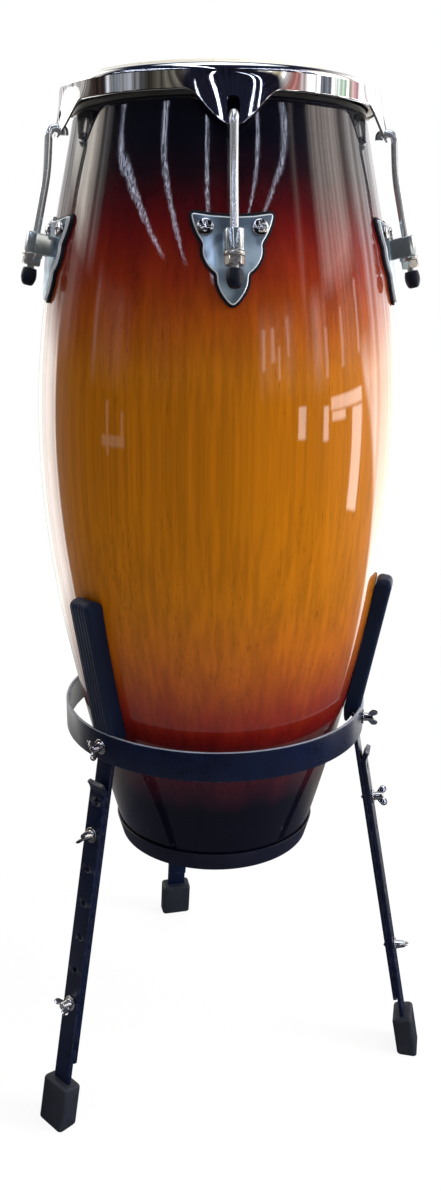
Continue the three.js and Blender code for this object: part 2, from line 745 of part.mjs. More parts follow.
function armSleeve(i) {
  const inside = bar_thickness / 2 + padThickness();
  const outside = bar_thickness / 2 + sleeve_cover;
  const depth = inside + outside;
  const low = v2(arm_low.x, ring_top + clearance);
  const length = (sleeve_length - clearance) / arm_along.y;
  const along = v3(arm_along.x, 0, arm_along.y);
  const across = v3(arm_across.x, 0, arm_across.y);
  const shape = roundedRectangle(depth, sleeve_width, sleeve_corner).map((p) =>
    v2(p.x + (outside - inside) / 2, p.y),
  );
  const body = prism(shape, -depth, length, across, Y, v3(low.x, 0, low.y));
  // The rounded top corners, seen from outside, and a level bottom just above the ring.
  const half = sleeve_width / 2;
  const round = sleeve_corner * 2;
  const face = [
    v2(-half, ring_top + clearance), v2(half, ring_top + clearance),
    ...arc(v2(half - round, arm_top - round), round, 0, 90, 4),
    ...arc(v2(-half + round, arm_top - round), round, 90, 180, 4),
  ];
  const pocket_line = [
    v2(arm_low.x, ring_top - ring_height), arm_low, on(arm_high, arm_along, clearance - sleeve_top),
  ];
  const pocket = barFrom(
    bentOutline(pocket_line, bar_thickness + 2 * clearance), bar_width + 2 * clearance,
  );
  const made = body.intersect(prism(face, 0, belly_radius * 2, Y, Z)).subtract(pocket);
  return piece("arm_sleeve_" + i, made, "rubber");
}

// The perforated bar with its bent tab, down to the sole of its foot.
function lowerLeg(i) {
  const bent = leg_down.clone().negate().rotateAround(v2(0, 0), -rad(tab_angle));
  const tab = on(lower_top, bent, tab_length);
  const end = on(lower_top, leg_down, lower_length);
  let made = barFrom(bentOutline([tab, lower_top, end], bar_thickness), bar_width);
  const down = v3(leg_down.x, 0, leg_down.y);
  for (let h = 0; h < hole_count; h += 1) {
    const at = hole_at(h);
    const long = h === 0 ? slot_length - 2 * hole_radius : 0;
    const outline = slotOutline(hole_radius, long);
    const reach = bar_thickness;
    made = made.subtract(prism(outline, -reach, reach, down, Y, v3(at.x, 0, at.y)));
  }
  return piece("lower_leg_" + i, made, "black_paint");
}

function foot(i) {
  const top = on(lower_top, leg_down, foot_start);
  const bevel = foot_corner;
  const half = foot_depth / 2;
  const corner = (along, out) => on(on(top, leg_down, along), leg_out, out);
  const past = foot_height * 1.3;
  const side = [
    corner(past, -half), corner(past, half), corner(bevel, half), corner(0, half - bevel),
    corner(0, -half + bevel), corner(bevel, -half),
  ];
  const section = roundedRectangle(foot_depth, foot_width, foot_corner);
  const out = v3(leg_out.x, 0, leg_out.y);
  const block = prism(section, -past, foot_height, out, Y, v3(top.x, 0, top.y));
  const floor_cut = prism(rectangle(belly_radius * 4, belly_radius * 4), -foot_height, 0, X, Y);
  const pocket_line = [top, on(lower_top, leg_down, lower_length + clearance)];
  pocket_line[0] = on(top, leg_down, -bevel);
  const pocket = barFrom(
    bentOutline(pocket_line, bar_thickness + 2 * clearance), bar_width + 2 * clearance,
  );
  const made = block.intersect(barFrom(side, foot_width)).subtract(floor_cut).subtract(pocket);
  return piece("foot_" + i, made, "rubber");
}

// A wing screw along z: its washer face at zero, and its thread reaching back through the bars.
function wingScrew(grip) {
  const hub_top = screw_washer_height + screw_hub_height;
  const tip = screw_radius * 0.8;
  const turned = revolve(
    [
      v2(0, -grip), v2(tip, -grip), v2(screw_radius, tip - grip), v2(screw_radius, clearance),
      v2(screw_washer_radius, clearance), v2(screw_washer_radius, screw_washer_height),
      v2(screw_hub_radius, screw_washer_height), v2(screw_hub_radius * 0.8, hub_top), v2(0, hub_top),
    ],
    bolt_sides,
  );
  const half = wing_span / 2;
  const top = screw_washer_height + wing_height;
  const lobe = half * 0.32;
  const outline = [
    v2(screw_hub_radius * 0.7, screw_washer_height * 1.3),
    v2(half - lobe, top - lobe * 2.2),
    ...arc(v2(half - lobe, top - lobe), lobe, -40, 150, 3),
    v2(screw_hub_radius * 0.6, hub_top * 0.85),
  ];
  const both = [...outline, ...outline.map((p) => v2(-p.x, p.y)).reverse()];
  const wings = prism(both, -wing_thickness / 2, wing_thickness / 2, X, Z);
  return turned.add(wings);
}

// The screw clamps with its washer on an outer face, at a point on the middle of that bar or ring.
function ringWingScrew(i) {
  const face = v3(ring_outer * Math.cos(facet) + clearance, 0, ring_middle);
  const grip = face.x - (arm_low.x - bar_thickness / 2) + screw_end;
  return piece("ring_wing_screw_" + i, placed(wingScrew(grip), face, X, rad(wing_turns[0])), "zinc");
}

function legWingScrew(i, which) {
  const at = on(hole_at(screw_holes[which]), leg_out, bar_thickness / 2);
  const grip = 2 * bar_thickness + clearance + screw_end;
  const made = placed(
    wingScrew(grip), v3(at.x, 0, at.y), v3(leg_out.x, 0, leg_out.y), rad(wing_turns[which + 1]),
  );
  const name = ["leg_wing_screw_upper_", "leg_wing_screw_lower_"][which];
  return piece(name + i, made, "zinc");
}

// Everything at one lug, or one leg, in its own frame.
function station(name, angle, parts) {
  const group = new THREE.Group();
  group.name = name;
  group.rotation.z = angle;
  group.add(...parts);
  return group;
}

const group = new THREE.Group();
group.name = "conga_in_ring_stand";
group.add(drumShell(), bottomBand(), drumHead(), fleshHoop(), rim(), standRing());
for (let i = 0; i < lug_count; i += 1) {
  const n = i + 1;
  const parts = [sidePlate(n), gasket(n), lugBolts(n), tuningRod(n), tuningNut(n), rodCap(n)];
  group.add(station("lug_station_" + n, lugAngle(i), parts));
}
for (let i = 0; i < leg_angles.length; i += 1) {
  const n = i + 1;
  const bars = [upperLeg(n), armSleeve(n), lowerLeg(n), foot(n)];
  const screws = [ringWingScrew(n), legWingScrew(n, 0), legWingScrew(n, 1)];
  group.add(station("leg_station_" + n, legAngle(i), [...bars, ...screws]));
}

// The origin goes to the middle of the underside.
group.updateMatrixWorld(true);
const box = new THREE.Box3().setFromObject(group, true);
const middle = box.getCenter(new THREE.Vector3());
group.position.set(-middle.x, -middle.y, -box.min.z);
group.updateMatrixWorld(true);

export default group;
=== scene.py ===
import math

import bmesh
import bpy
import numpy as np
from mathutils import Matrix, Vector

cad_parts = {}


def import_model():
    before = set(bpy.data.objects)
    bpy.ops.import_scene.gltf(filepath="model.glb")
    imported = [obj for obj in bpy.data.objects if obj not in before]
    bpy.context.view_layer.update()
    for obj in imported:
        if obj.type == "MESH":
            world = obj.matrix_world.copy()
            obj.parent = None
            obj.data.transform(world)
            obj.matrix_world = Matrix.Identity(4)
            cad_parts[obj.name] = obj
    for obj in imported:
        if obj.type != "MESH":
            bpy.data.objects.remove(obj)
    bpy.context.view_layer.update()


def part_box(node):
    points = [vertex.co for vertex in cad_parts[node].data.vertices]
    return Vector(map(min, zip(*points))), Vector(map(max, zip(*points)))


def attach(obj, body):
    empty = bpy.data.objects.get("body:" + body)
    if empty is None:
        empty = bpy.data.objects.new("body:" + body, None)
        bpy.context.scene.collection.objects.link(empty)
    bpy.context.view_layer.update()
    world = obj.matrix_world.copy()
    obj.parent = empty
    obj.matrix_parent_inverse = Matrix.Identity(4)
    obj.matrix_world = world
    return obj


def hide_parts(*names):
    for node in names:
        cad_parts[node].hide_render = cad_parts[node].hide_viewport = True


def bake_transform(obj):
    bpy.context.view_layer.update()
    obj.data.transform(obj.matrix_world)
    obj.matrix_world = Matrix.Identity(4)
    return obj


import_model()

# A conga in a ring stand. Lengths are in metres and Z is up. A station is one lug or one leg:
# in its own frame x points away from the drum's axis, y runs along the drum and z is up.

# Places taken from the frame
shell_low, shell_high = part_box("drum_shell")
axis_x = (shell_low.x + shell_high.x) / 2
axis_y = (shell_low.y + shell_high.y) / 2
shell_base, shell_top = shell_low.z, shell_high.z
drum_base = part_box("bottom_band")[0].z
drum_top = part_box("drum_head")[1].z
drum_height = drum_top - drum_base
band_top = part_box("bottom_band")[1].z
rim_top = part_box("rim")[1].z
ear_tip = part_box("rim")[0].z
hoop_low, hoop_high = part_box("flesh_hoop")
hoop_outside = (hoop_high.x - hoop_low.x) / 2
ring_low, ring_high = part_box("stand_ring")
ring_outer = (ring_high.x - ring_low.x) / 2
ring_base, ring_top = ring_low.z, ring_high.z
lug_angles = [math.radians(4 - 90 + 72 * i) for i in range(5)]
leg_angles = [math.radians(a - 90) for a in (-44.5, 78, 193.5)]

# Clearances
clearance = 0.0003
running_clearance = 0.0006

# Limits and rounding of the meshes
weld_distance = 2e-6
shortest_edge = 1e-7
no_length = 1e-9
hole_edge = 0.0004
drum_turn_steps = 256

# Drum
belly_radius = 0.1784
profile_shares = [0.563, 0.679, 0.785, 0.876, 0.947, 0.99, 1.0, 0.971, 0.905, 0.817, 0.734]
shell_wall = 0.010
bearing_edge = 0.005
band_thickness = 0.0023
band_lip = 0.007
band_corner_radii = [0.0012] + [0.003] * 4 + [0.0009] * 2 + [0.001] * 3 + [0.0004, 0.0006, 0.0009]
head_thickness = 0.0016
skin_fold_rise = 0.008
skin_fold_radii = [0.0005, 0.0015, 0.0005, 0.0005, 0.0006, 0.0005]
hoop_width = 0.0066
hoop_corner_radii = [0.0015, 0.0015, 0.0034, 0.0015]

# Rim
rim_sheet = 0.0025
rim_roll = 0.0065
rim_lip = 0.0024
rim_height = 0.021
ear_half_width = 0.041
ear_swell = 0.0085
ear_swell_half_width = 0.058
ear_swell_slope = 1.28
ear_swell_ease = 0.1
ear_hole_radius = 0.0053
ear_hole_length = 0.008
ear_hole_rise = 0.010
ear_hole_flat_share = math.cos(math.pi / 8)  # the hook rests on the hole's lowest flat

# Side plates, lugs and bolts
plate_drop = 0.1192
plate_width = 0.0683
plate_height = 0.0734
plate_thickness = 0.0024
plate_corner = 0.0035
plate_outline_shares = [
    (0, 0.046), (0.5, 0.034), (1, 0), (0.96, 0.1), (0.855, 0.223), (0.703, 0.332), (0.728, 0.395),
    (0.712, 0.465), (0.624, 0.55), (0.51, 0.61), (0.381, 0.653), (0.38, 0.75), (0.293, 0.854),
    (0.123, 0.959), (0, 1),
]
# Steps up the edge of a sheet, as (moved in, below its face)
plate_edge_steps = [(0, 0.001), (0.0003, 0.0003), (0.0007, 0), (0.0011, 0), (0.003, 0)]
gasket_edge_steps = [(0, 0.0008), (0.0003, 0.0002), (0.001, 0)]
backing_edge_steps = [(0, 0.0004), (0.0004, 0)]
sheet_middle_rows = 7
gasket_thickness = 0.0025
gasket_margin = 0.0024
bolt_offset = 0.0218
bolt_drop = 0.0125
bolt_radius = 0.003
bolt_head_radius = 0.007
bolt_head_height = 0.0032
bolt_end_radius = 0.001
backing_length = 0.064
backing_width = 0.018
backing_thickness = 0.0025
backing_nut_radius = 0.0056
backing_nut_height = 0.005
nut_chamfer = 0.0008
lug_drop = 0.0225
lug_reach = 0.0204
lug_width = 0.0164
lug_height = 0.018
lug_strap = 0.0036
lug_strap_corner = 0.0011
lug_strap_bend = 0.003
lug_weld_depth = 0.0015

# Rods, nuts and caps
rod_radius = 0.0036
rod_bend_drop = 0.028
rod_bend_out = 0.003
rod_bend_length = 0.014
hook_reach = 0.0026
hook_radius = 0.0065
hook_tip_radius = 0.0042
hook_tip_length = 0.0015
hook_ear_gap = 0.0015
thread_pitch = 0.00125
thread_depth = 0.00028
rod_step = 0.0005
nut_flange_radius = 0.009
nut_flange_height = 0.0034
nut_radius = 0.0086
nut_height = 0.007
nut_flange_radii = [0.0002, 0.0009, 0.0009, 0.0002]
nut_overlap = 0.0002
nut_cap_gap = 0.0025
cap_radius = 0.007
cap_height = 0.0155
cap_grip = 0.010
cap_corner_radii = [0.0004, 0.001, 0.003, 0.0045, 0.004, 0]

# Stand
ring_thickness = 0.0035
ring_corner = 0.0012
ring_top_facing = 0.8
arm_standoff = 0.0123
bar_width = 0.023
bar_thickness = 0.0045
bar_corner = 0.0011
bar_bend = 0.006
sleeve_length = 0.140
sleeve_width = 0.031
sleeve_cover = 0.0028
sleeve_corner = 0.004
sleeve_back_corner = 0.0004
sleeve_groove_depth = 0.00028
sleeve_groove_pitch = 0.0044
sleeve_groove_reach = 0.0012
sleeve_tongue = 0.016
sleeve_least_rise = 0.0005
sleeve_top = 0.009
leg_lean = math.radians(10.6)
leg_top_drop = 0.0304
tab_length = 0.009
tab_angle = math.radians(37)
tab_bend = 0.004
hole_radius = 0.0031
hole_count = 7
first_hole = 0.011
last_hole_rise = 0.0873
slot_length = 0.009
screw_holes = (1, 6)
foot_height = 0.047
foot_width = 0.037
foot_depth = 0.022
foot_corner = 0.004
foot_sole = 0.010
foot_edge = 0.0012
upper_leg_gap = 0.022

# Wing screws
screw_radius = 0.0027
screw_washer_radius = 0.0078
screw_washer_height = 0.0016
screw_hub_radius = 0.0046
screw_hub_height = 0.0105
screw_end = 0.003
screw_corner_radii = [0, 0.0005, 0.0005, 0.0003, 0.0016, 0]
screw_point = 0.0015
screw_thread_pitch = 0.0009
screw_thread_depth = 0.00025
wing_span = 0.022
wing_height = 0.0145
wing_thickness = 0.0022
wing_corner = 0.0012
wing_turns = [math.radians(a) for a in (20, -35, 65)]

# Derived places, all in the (radius, height) plane of a station
# The shell's curve is its radius over height, a polynomial of the sixth degree fitted to the shares
profile_heights = drum_base + drum_height * np.linspace(0, 1, len(profile_shares))
shell_curve = np.polynomial.Polynomial.fit(profile_heights, belly_radius * np.array(profile_shares), 6)
rim_radius = hoop_outside + running_clearance + rim_sheet
rim_base = rim_top - rim_height
swell_top = rim_top - rim_roll
ear_drop = rim_base - ear_tip
hook_height = (
    ear_tip + ear_hole_rise - (ear_hole_radius * ear_hole_flat_share - rod_radius - clearance)
)
plate_top = drum_top - plate_drop
rod_top = np.array([rim_radius + ear_swell + hook_reach + rod_radius, hook_height])
hook_tip = rim_radius + ear_swell - rim_sheet - hook_ear_gap - rod_radius
rod_bend = np.array([rod_top[0] + rod_bend_out, ear_tip - rod_bend_drop])
lug_point = np.array([shell_curve(plate_top - lug_drop) + lug_reach, plate_top - lug_drop])
rod_along = (rod_bend - lug_point) / np.linalg.norm(rod_bend - lug_point)
gasket_inner = clearance
gasket_outer = gasket_inner + gasket_thickness
plate_inner = gasket_outer + clearance
plate_outer = plate_inner + plate_thickness
nut_start = lug_height / 2 + clearance
nut_end = nut_start + nut_flange_height + nut_height
cap_start = nut_end + nut_cap_gap
ring_middle = (ring_base + ring_top) / 2
arm_top = ring_top + sleeve_length
arm_low = np.array([shell_curve(ring_top) + arm_standoff, ring_top])
arm_high = np.array([shell_curve(arm_top) + arm_standoff, arm_top])
arm_along = (arm_high - arm_low) / np.linalg.norm(arm_high - arm_low)
leg_top_height = ring_base - leg_top_drop
knee = np.array([arm_low[0], ring_base])
leg_down = np.array([math.sin(leg_lean), -math.cos(leg_lean)])
leg_out = np.array([math.cos(leg_lean), math.sin(leg_lean)])
lower_line = knee + leg_out * (bar_thickness + clearance)
lower_top = lower_line + leg_down * (lower_line[1] - leg_top_height) / -leg_down[1]
lower_length = (leg_top_height - foot_sole) / -leg_down[1]
foot_start = leg_top_height / -leg_down[1] - foot_height
hole_pitch = (foot_start - last_hole_rise - first_hole) / (hole_count - 1)


def hole_at(i):
    """The middle of a hole in a lower leg, counted from 0 at its top."""
    return lower_top + leg_down * (first_hole + i * hole_pitch)


# Mesh helpers


def quads(rows, columns, wrap_rows, wrap_columns):
    """Corner numbers of the faces of a grid of points; a wrapped side joins its last to its first."""
    i = np.arange(rows if wrap_rows else rows - 1)[:, None]
    j = np.arange(columns if wrap_columns else columns - 1)[None, :]
    here, across = i * columns, (i + 1) % rows * columns
    there = (j + 1) % columns
    return np.stack([here + j, across + j, across + there, here + there], -1).reshape(-1, 4)


def closed_ends(grid):
    """The grid with a row at each end drawn together to that end's middle, which closes a tube."""
    first = np.broadcast_to(grid[:1].mean(1, keepdims=True), grid[:1].shape)
    last = np.broadcast_to(grid[-1:].mean(1, keepdims=True), grid[-1:].shape)
    return np.concatenate([first, grid, last])


def mesh_object(name, surfaces, sharp_angle=35):
    """A mesh from grids of points: (grid, rows wrapped, columns wrapped, material number)."""
    points, faces, slots, start = [], [], [], 0
    for grid, wrap_rows, wrap_columns, number in surfaces:
        made = quads(grid.shape[0], grid.shape[1], wrap_rows, wrap_columns) + start
        points.append(grid.reshape(-1, 3))
        faces.append(made)
        slots.append(np.full(len(made), number))
        start += points[-1].shape[0]
    mesh = bpy.data.meshes.new(name)
    mesh.from_pydata(np.concatenate(points).tolist(), [], np.concatenate(faces).tolist())
    mesh.polygons.foreach_set("material_index", np.concatenate(slots).astype(np.int32))
    tidy_mesh(mesh, sharp_angle)
    thing = bpy.data.objects.new(name, mesh)
    bpy.context.scene.collection.objects.link(thing)
    return thing


def tidy_mesh(mesh, sharp_angle):
    """Merges doubles, turns faces outwards, and shades smooth up to an angle between faces."""
    work = bmesh.new()
    work.from_mesh(mesh)
    bmesh.ops.remove_doubles(work, verts=work.verts, dist=weld_distance)
    bmesh.ops.dissolve_degenerate(work, edges=work.edges, dist=shortest_edge)
    bmesh.ops.recalc_face_normals(work, faces=work.faces)
    work.to_mesh(mesh)
    work.free()
    mesh.polygons.foreach_set("use_smooth", np.ones(len(mesh.polygons), bool))
    mesh.set_sharp_from_angle(angle=math.radians(sharp_angle))
    mesh.update()


def cut(thing, surfaces, bevel=0.0, sharp_angle=35):
    """Cuts closed surfaces out of an object, and rounds the edges that this leaves."""
    cutter = mesh_object(thing.name + "_cutter", surfaces)
    boolean = thing.modifiers.new("cut", "BOOLEAN")
    boolean.object, boolean.operation, boolean.solver = cutter, "DIFFERENCE", "EXACT"
    if bevel:
        rounded = thing.modifiers.new("bevel", "BEVEL")
        rounded.width, rounded.segments = bevel, 2
        rounded.limit_method, rounded.angle_limit = "ANGLE", math.radians(50)
    bpy.context.view_layer.update()
    evaluated = thing.evaluated_get(bpy.context.evaluated_depsgraph_get())
    made = bpy.data.meshes.new_from_object(evaluated)
    thing.modifiers.clear()
    thing.data = made
    bpy.data.objects.remove(cutter)
    tidy_mesh(made, sharp_angle)
    return thing


def dress(thing, body, slot, materials, *nodes):
    """Gives a piece its materials, its body if it has one alone, and the nodes it stands for; its slot is not
    used.
    """
    held = thing.data.materials
    for number, material in enumerate(materials):
        if number < len(held):
            held[number] = material
        else:
            held.append(material)
    if body:
        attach(thing, body)
    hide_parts(*nodes)
    return thing


def fillet(points, radius, steps=4, closed=True):
    """A polygon with each corner replaced by a parabola that starts a radius before the corner."""
    p = np.asarray(points, float)
    before, after = np.roll(p, 1, 0) - p, np.roll(p, -1, 0) - p
    reach = np.broadcast_to(np.asarray(radius, float), (len(p),))
    size_before = np.linalg.norm(before, axis=1)
    size_after = np.linalg.norm(after, axis=1)
    share_before = np.minimum(reach, 0.48 * size_before) / np.maximum(size_before, no_length)
    share_after = np.minimum(reach, 0.48 * size_after) / np.maximum(size_after, no_length)
    start, end = p + before * share_before[:, None], p + after * share_after[:, None]
    t = np.linspace(0, 1, steps + 1)[None, :, None]
    curve = (1 - t) ** 2 * start[:, None] + 2 * t * (1 - t) * p[:, None] + t**2 * end[:, None]
    if not closed:
        curve[0], curve[-1] = p[0], p[-1]
    flat = curve.reshape(-1, p.shape[1])
    step = np.linalg.norm(np.diff(flat, axis=0, append=flat[:1] if closed else flat[-1:] + 1), axis=1)
    return flat[step > shortest_edge]


def resample(points, count, closed=False):
    """Points at equal distances along a line of points."""
    p = np.concatenate([points, points[:1]]) if closed else points
    along = np.concatenate([[0], np.cumsum(np.linalg.norm(np.diff(p, axis=0), axis=1))])
    at = np.linspace(0, along[-1], count, endpoint=not closed)
    return np.stack([np.interp(at, along, p[:, k]) for k in range(p.shape[1])], -1)


def revolved(profile, count=200):
    """Rows of a profile of (radius, height) points, turned about the z axis."""
    turn = np.linspace(0, 2 * np.pi, count, endpoint=False)[:, None]
    r, z = profile[None, :, 0], profile[None, :, 1]
    return np.stack([r * np.cos(turn), r * np.sin(turn), np.broadcast_to(z, (count, z.shape[1]))], -1)


def in_row(points, angle=0.0):
    """Points of a station's frame, turned to its angle round the drum's axis."""
    c, s = math.cos(angle), math.sin(angle)
    x, y, z = points[..., 0], points[..., 1], points[..., 2]
    return np.stack([c * x - s * y + axis_x, s * x + c * y + axis_y, z], -1)


def set_on(points, origin, direction, turn=0.0):
    """Points made about z, turned about it, then stood at an origin with z along a direction."""
    c, s = math.cos(turn), math.sin(turn)
    x = points[..., 0] * c - points[..., 1] * s
    y = points[..., 0] * s + points[..., 1] * c
    ez = np.asarray(direction, float) / np.linalg.norm(direction)
    ey = np.cross([0, 0, 1], ez) if abs(ez[2]) < 0.999 else np.array([0, 1.0, 0])
    ey = ey / np.linalg.norm(ey)
    ex = np.cross(ey, ez)
    return np.asarray(origin) + x[..., None] * ex + y[..., None] * ey + points[..., 2:3] * ez


def swept(path, section):
    """A section of (across, along y) points carried along a path in the (radius, height) plane."""
    tangent = np.gradient(path, axis=0)
    tangent /= np.linalg.norm(tangent, axis=1, keepdims=True)
    section = np.broadcast_to(section, (len(path),) + section.shape[-2:])
    a, b = section[..., 0], section[..., 1]
    x = path[:, None, 0] + tangent[:, None, 1] * a
    z = path[:, None, 1] - tangent[:, None, 0] * a
    return np.stack([x, b, z], -1)


def rounded_rectangle(width, height, corner, steps=5):
    """A rectangle about the origin with rounded corners."""
    w, h = width / 2, height / 2
    return fillet([(-w, -h), (w, -h), (w, h), (-w, h)], corner, steps)


def on_drum(y, z, out):
    """Points at y along the drum and a height, standing out from the shell by a distance."""
    return np.stack([np.sqrt((shell_curve(z) + out) ** 2 - y**2), y, z], -1)


def moved_in(outline, distance):
    """A closed outline with every point moved inwards, square to the outline."""
    along = np.roll(outline, -1, 0) - np.roll(outline, 1, 0)
    along /= np.linalg.norm(along, axis=1, keepdims=True)
    area = np.sum(outline[:, 0] * np.roll(outline[:, 1], -1) - np.roll(outline[:, 0], -1) * outline[:, 1])
    return outline + np.sign(area) * distance * np.stack([-along[:, 1], along[:, 0]], -1)


# Materials


def group(name, inputs, outputs):
    """A shader node group with its sockets: (name, kind, value) in and (name, kind) out."""
    made = bpy.data.node_groups.new(name, "ShaderNodeTree")
    for label, kind, value in inputs:
        socket = made.interface.new_socket(label, in_out="INPUT", socket_type="NodeSocket" + kind)
        if value is not None:
            socket.default_value = value
    for label, kind in outputs:
        made.interface.new_socket(label, in_out="OUTPUT", socket_type="NodeSocket" + kind)
    return made, made.nodes.new("NodeGroupInput"), made.nodes.new("NodeGroupOutput")


def add(tree, kind, inputs=(), **settings):
    """A node with its settings; inputs are (socket, value or output to link)."""
    node = tree.nodes.new(kind)
    for key, value in settings.items():
        setattr(node, key, value)
    for socket, value in dict(inputs).items():
        if isinstance(value, bpy.types.NodeSocket):
            tree.links.new(value, node.inputs[socket])
        else:
            node.inputs[socket].default_value = value
    return node


def math_node(tree, operation, a, b=0.0, clamp=False):
    """The result of one sum on two values."""
    return add(tree, "ShaderNodeMath", {0: a, 1: b}, operation=operation, use_clamp=clamp).outputs[0]


def times(tree, a, b):
    """The product of two values."""
    return math_node(tree, "MULTIPLY", a, b)


def plus(tree, a, b):
    """The sum of two values."""
    return math_node(tree, "ADD", a, b)


def minus(tree, a, b):
    """The first value less the second."""
    return math_node(tree, "SUBTRACT", a, b)


def mixed(tree, share, first, second, blend="MIX"):
    """Two colours mixed by a share."""
    node = add(tree, "ShaderNodeMix", data_type="RGBA", blend_type=blend)
    for socket, value in ((0, share), (6, first), (7, second)):
        if isinstance(value, bpy.types.NodeSocket):
            tree.links.new(value, node.inputs[socket])
        else:
            node.inputs[socket].default_value = value
    return node.outputs[2]


def noise(tree, vector, scale, detail=3.0, roughness=0.5, distortion=0.0):
    """A noise value over a vector."""
    node = add(
        tree, "ShaderNodeTexNoise",
        {"Vector": vector, "Scale": scale, "Detail": detail, "Roughness": roughness,
         "Distortion": distortion},
    )
    return node.outputs["Fac"]


def spread(tree, value, low, high, to_low=0.0, to_high=1.0):
    """A value's range mapped to another, and kept inside it."""
    node = add(
        tree, "ShaderNodeMapRange",
        {"Value": value, "From Min": low, "From Max": high, "To Min": to_low, "To Max": to_high},
    )
    return node.outputs["Result"]


def ramp(tree, value, stops, interpolation="LINEAR"):
    """A colour ramp through (place, colour) stops."""
    node = add(tree, "ShaderNodeValToRGB", {"Fac": value})
    elements = node.color_ramp.elements
    node.color_ramp.interpolation = interpolation
    while len(elements) < len(stops):
        elements.new(1.0)
    for element, (place, colour) in zip(elements, stops):
        element.position = place
        element.color = (*colour, 1.0)
    return node.outputs["Color"]


def grain_group():
    """Wood grain: noise drawn out along z, and pores as short dark dashes."""
    tree, given, out = group(
        "wood_grain",
        [("Vector", "Vector", None), ("Fineness", "Float", 120.0), ("Stretch", "Float", 26.0)],
        [("Grain", "Float"), ("Pores", "Float"), ("Boards", "Float")],
    )
    vector, fineness = given.outputs["Vector"], given.outputs["Fineness"]
    squeeze = math_node(tree, "DIVIDE", 1.0, given.outputs["Stretch"])
    scale = add(tree, "ShaderNodeCombineXYZ", {"X": 1.0, "Y": 1.0, "Z": squeeze})
    drawn = add(tree, "ShaderNodeVectorMath", {0: vector, 1: scale.outputs[0]}, operation="MULTIPLY")
    wave = noise(tree, drawn.outputs[0], fineness, 4.0, 0.6, 0.1)
    fine = noise(tree, drawn.outputs[0], times(tree, fineness, 4.5), 2.0, 0.5)
    boards = noise(tree, drawn.outputs[0], times(tree, fineness, 0.22), 1.0, 0.4)
    tree.links.new(wave, out.inputs["Grain"])
    tree.links.new(spread(tree, fine, 0.60, 0.72), out.inputs["Pores"])
    tree.links.new(boards, out.inputs["Boards"])
    return tree


def smudge_group():
    """Roughness that changes over a surface, with faint handling marks."""
    tree, given, out = group(
        "smudges",
        [("Vector", "Vector", None), ("Scale", "Float", 30.0), ("Least", "Float", 0.05),
         ("Most", "Float", 0.2)],
        [("Roughness", "Float"), ("Height", "Float")],
    )
    vector, scale = given.outputs["Vector"], given.outputs["Scale"]
    broad = noise(tree, vector, scale, 4.0, 0.6)
    fine = noise(tree, vector, times(tree, scale, 14.0), 2.0)
    both = plus(tree, times(tree, broad, 0.75), times(tree, fine, 0.25))
    node = add(
        tree, "ShaderNodeMapRange",
        {"Value": both, "From Min": 0.35, "From Max": 0.68, "To Min": given.outputs["Least"],
         "To Max": given.outputs["Most"]},
    )
    tree.links.new(node.outputs["Result"], out.inputs["Roughness"])
    tree.links.new(broad, out.inputs["Height"])
    return tree


def wear_group():
    """Where edges are rubbed: convex places, broken up by noise."""
    tree, given, out = group(
        "edge_wear",
        [("Vector", "Vector", None), ("Scale", "Float", 90.0), ("Amount", "Float", 0.5)],
        [("Mask", "Float")],
    )
    point = add(tree, "ShaderNodeNewGeometry").outputs["Pointiness"]
    edge = spread(tree, point, 0.52, 0.62)
    spots = noise(tree, given.outputs["Vector"], given.outputs["Scale"], 5.0, 0.7)
    broken = spread(tree, spots, 0.45, 0.62)
    rubbed = times(tree, edge, broken)
    mask = math_node(tree, "MULTIPLY", rubbed, given.outputs["Amount"], clamp=True)
    tree.links.new(mask, out.inputs["Mask"])
    return tree


def stipple_group():
    """A moulded or cast skin: fine bumps, and a slow change of tone."""
    tree, given, out = group(
        "stipple",
        [("Vector", "Vector", None), ("Scale", "Float", 900.0), ("First", "Color", None),
         ("Second", "Color", None)],
        [("Color", "Color"), ("Height", "Float")],
    )
    vector, scale = given.outputs["Vector"], given.outputs["Scale"]
    fine = noise(tree, vector, scale, 2.0, 0.6)
    broad = noise(tree, vector, times(tree, scale, 0.03), 4.0, 0.6)
    colour = mixed(tree, spread(tree, broad, 0.35, 0.65), given.outputs["First"],
                   given.outputs["Second"])
    tree.links.new(colour, out.inputs["Color"])
    tree.links.new(fine, out.inputs["Height"])
    return tree


grain_nodes, smudge_nodes = grain_group(), smudge_group()
wear_nodes, stipple_nodes = wear_group(), stipple_group()


def start_material(name, **settings):
    """A material with its node tree, its Principled shader and Object coordinates."""
    made = bpy.data.materials.new(name)
    made.use_nodes = True
    tree = made.node_tree
    shader = tree.nodes["Principled BSDF"]
    for socket, value in settings.items():
        shader.inputs[socket.replace("_", " ")].default_value = value
    place = add(tree, "ShaderNodeTexCoord").outputs["Object"]
    return made, tree, shader, place


def placed_group(tree, nodes, **inputs):
    """A shared group in a material, with this material's own values."""
    node = tree.nodes.new("ShaderNodeGroup")
    node.node_tree = nodes
    for label, value in inputs.items():
        if isinstance(value, bpy.types.NodeSocket):
            tree.links.new(value, node.inputs[label])
        else:
            node.inputs[label].default_value = value
    return node


def smudged(tree, shader, place, scale, least, most):
    """Gives the shader the smudges' roughness, between two values."""
    marks = placed_group(tree, smudge_nodes, Vector=place, Scale=scale, Least=least, Most=most)
    tree.links.new(marks.outputs["Roughness"], shader.inputs["Roughness"])
    return marks


def bump(tree, shader, height, strength, distance):
    """A Bump node that feeds the shader's normal."""
    node = add(tree, "ShaderNodeBump", {"Height": height, "Strength": strength, "Distance": distance})
    tree.links.new(node.outputs["Normal"], shader.inputs["Normal"])
    return node


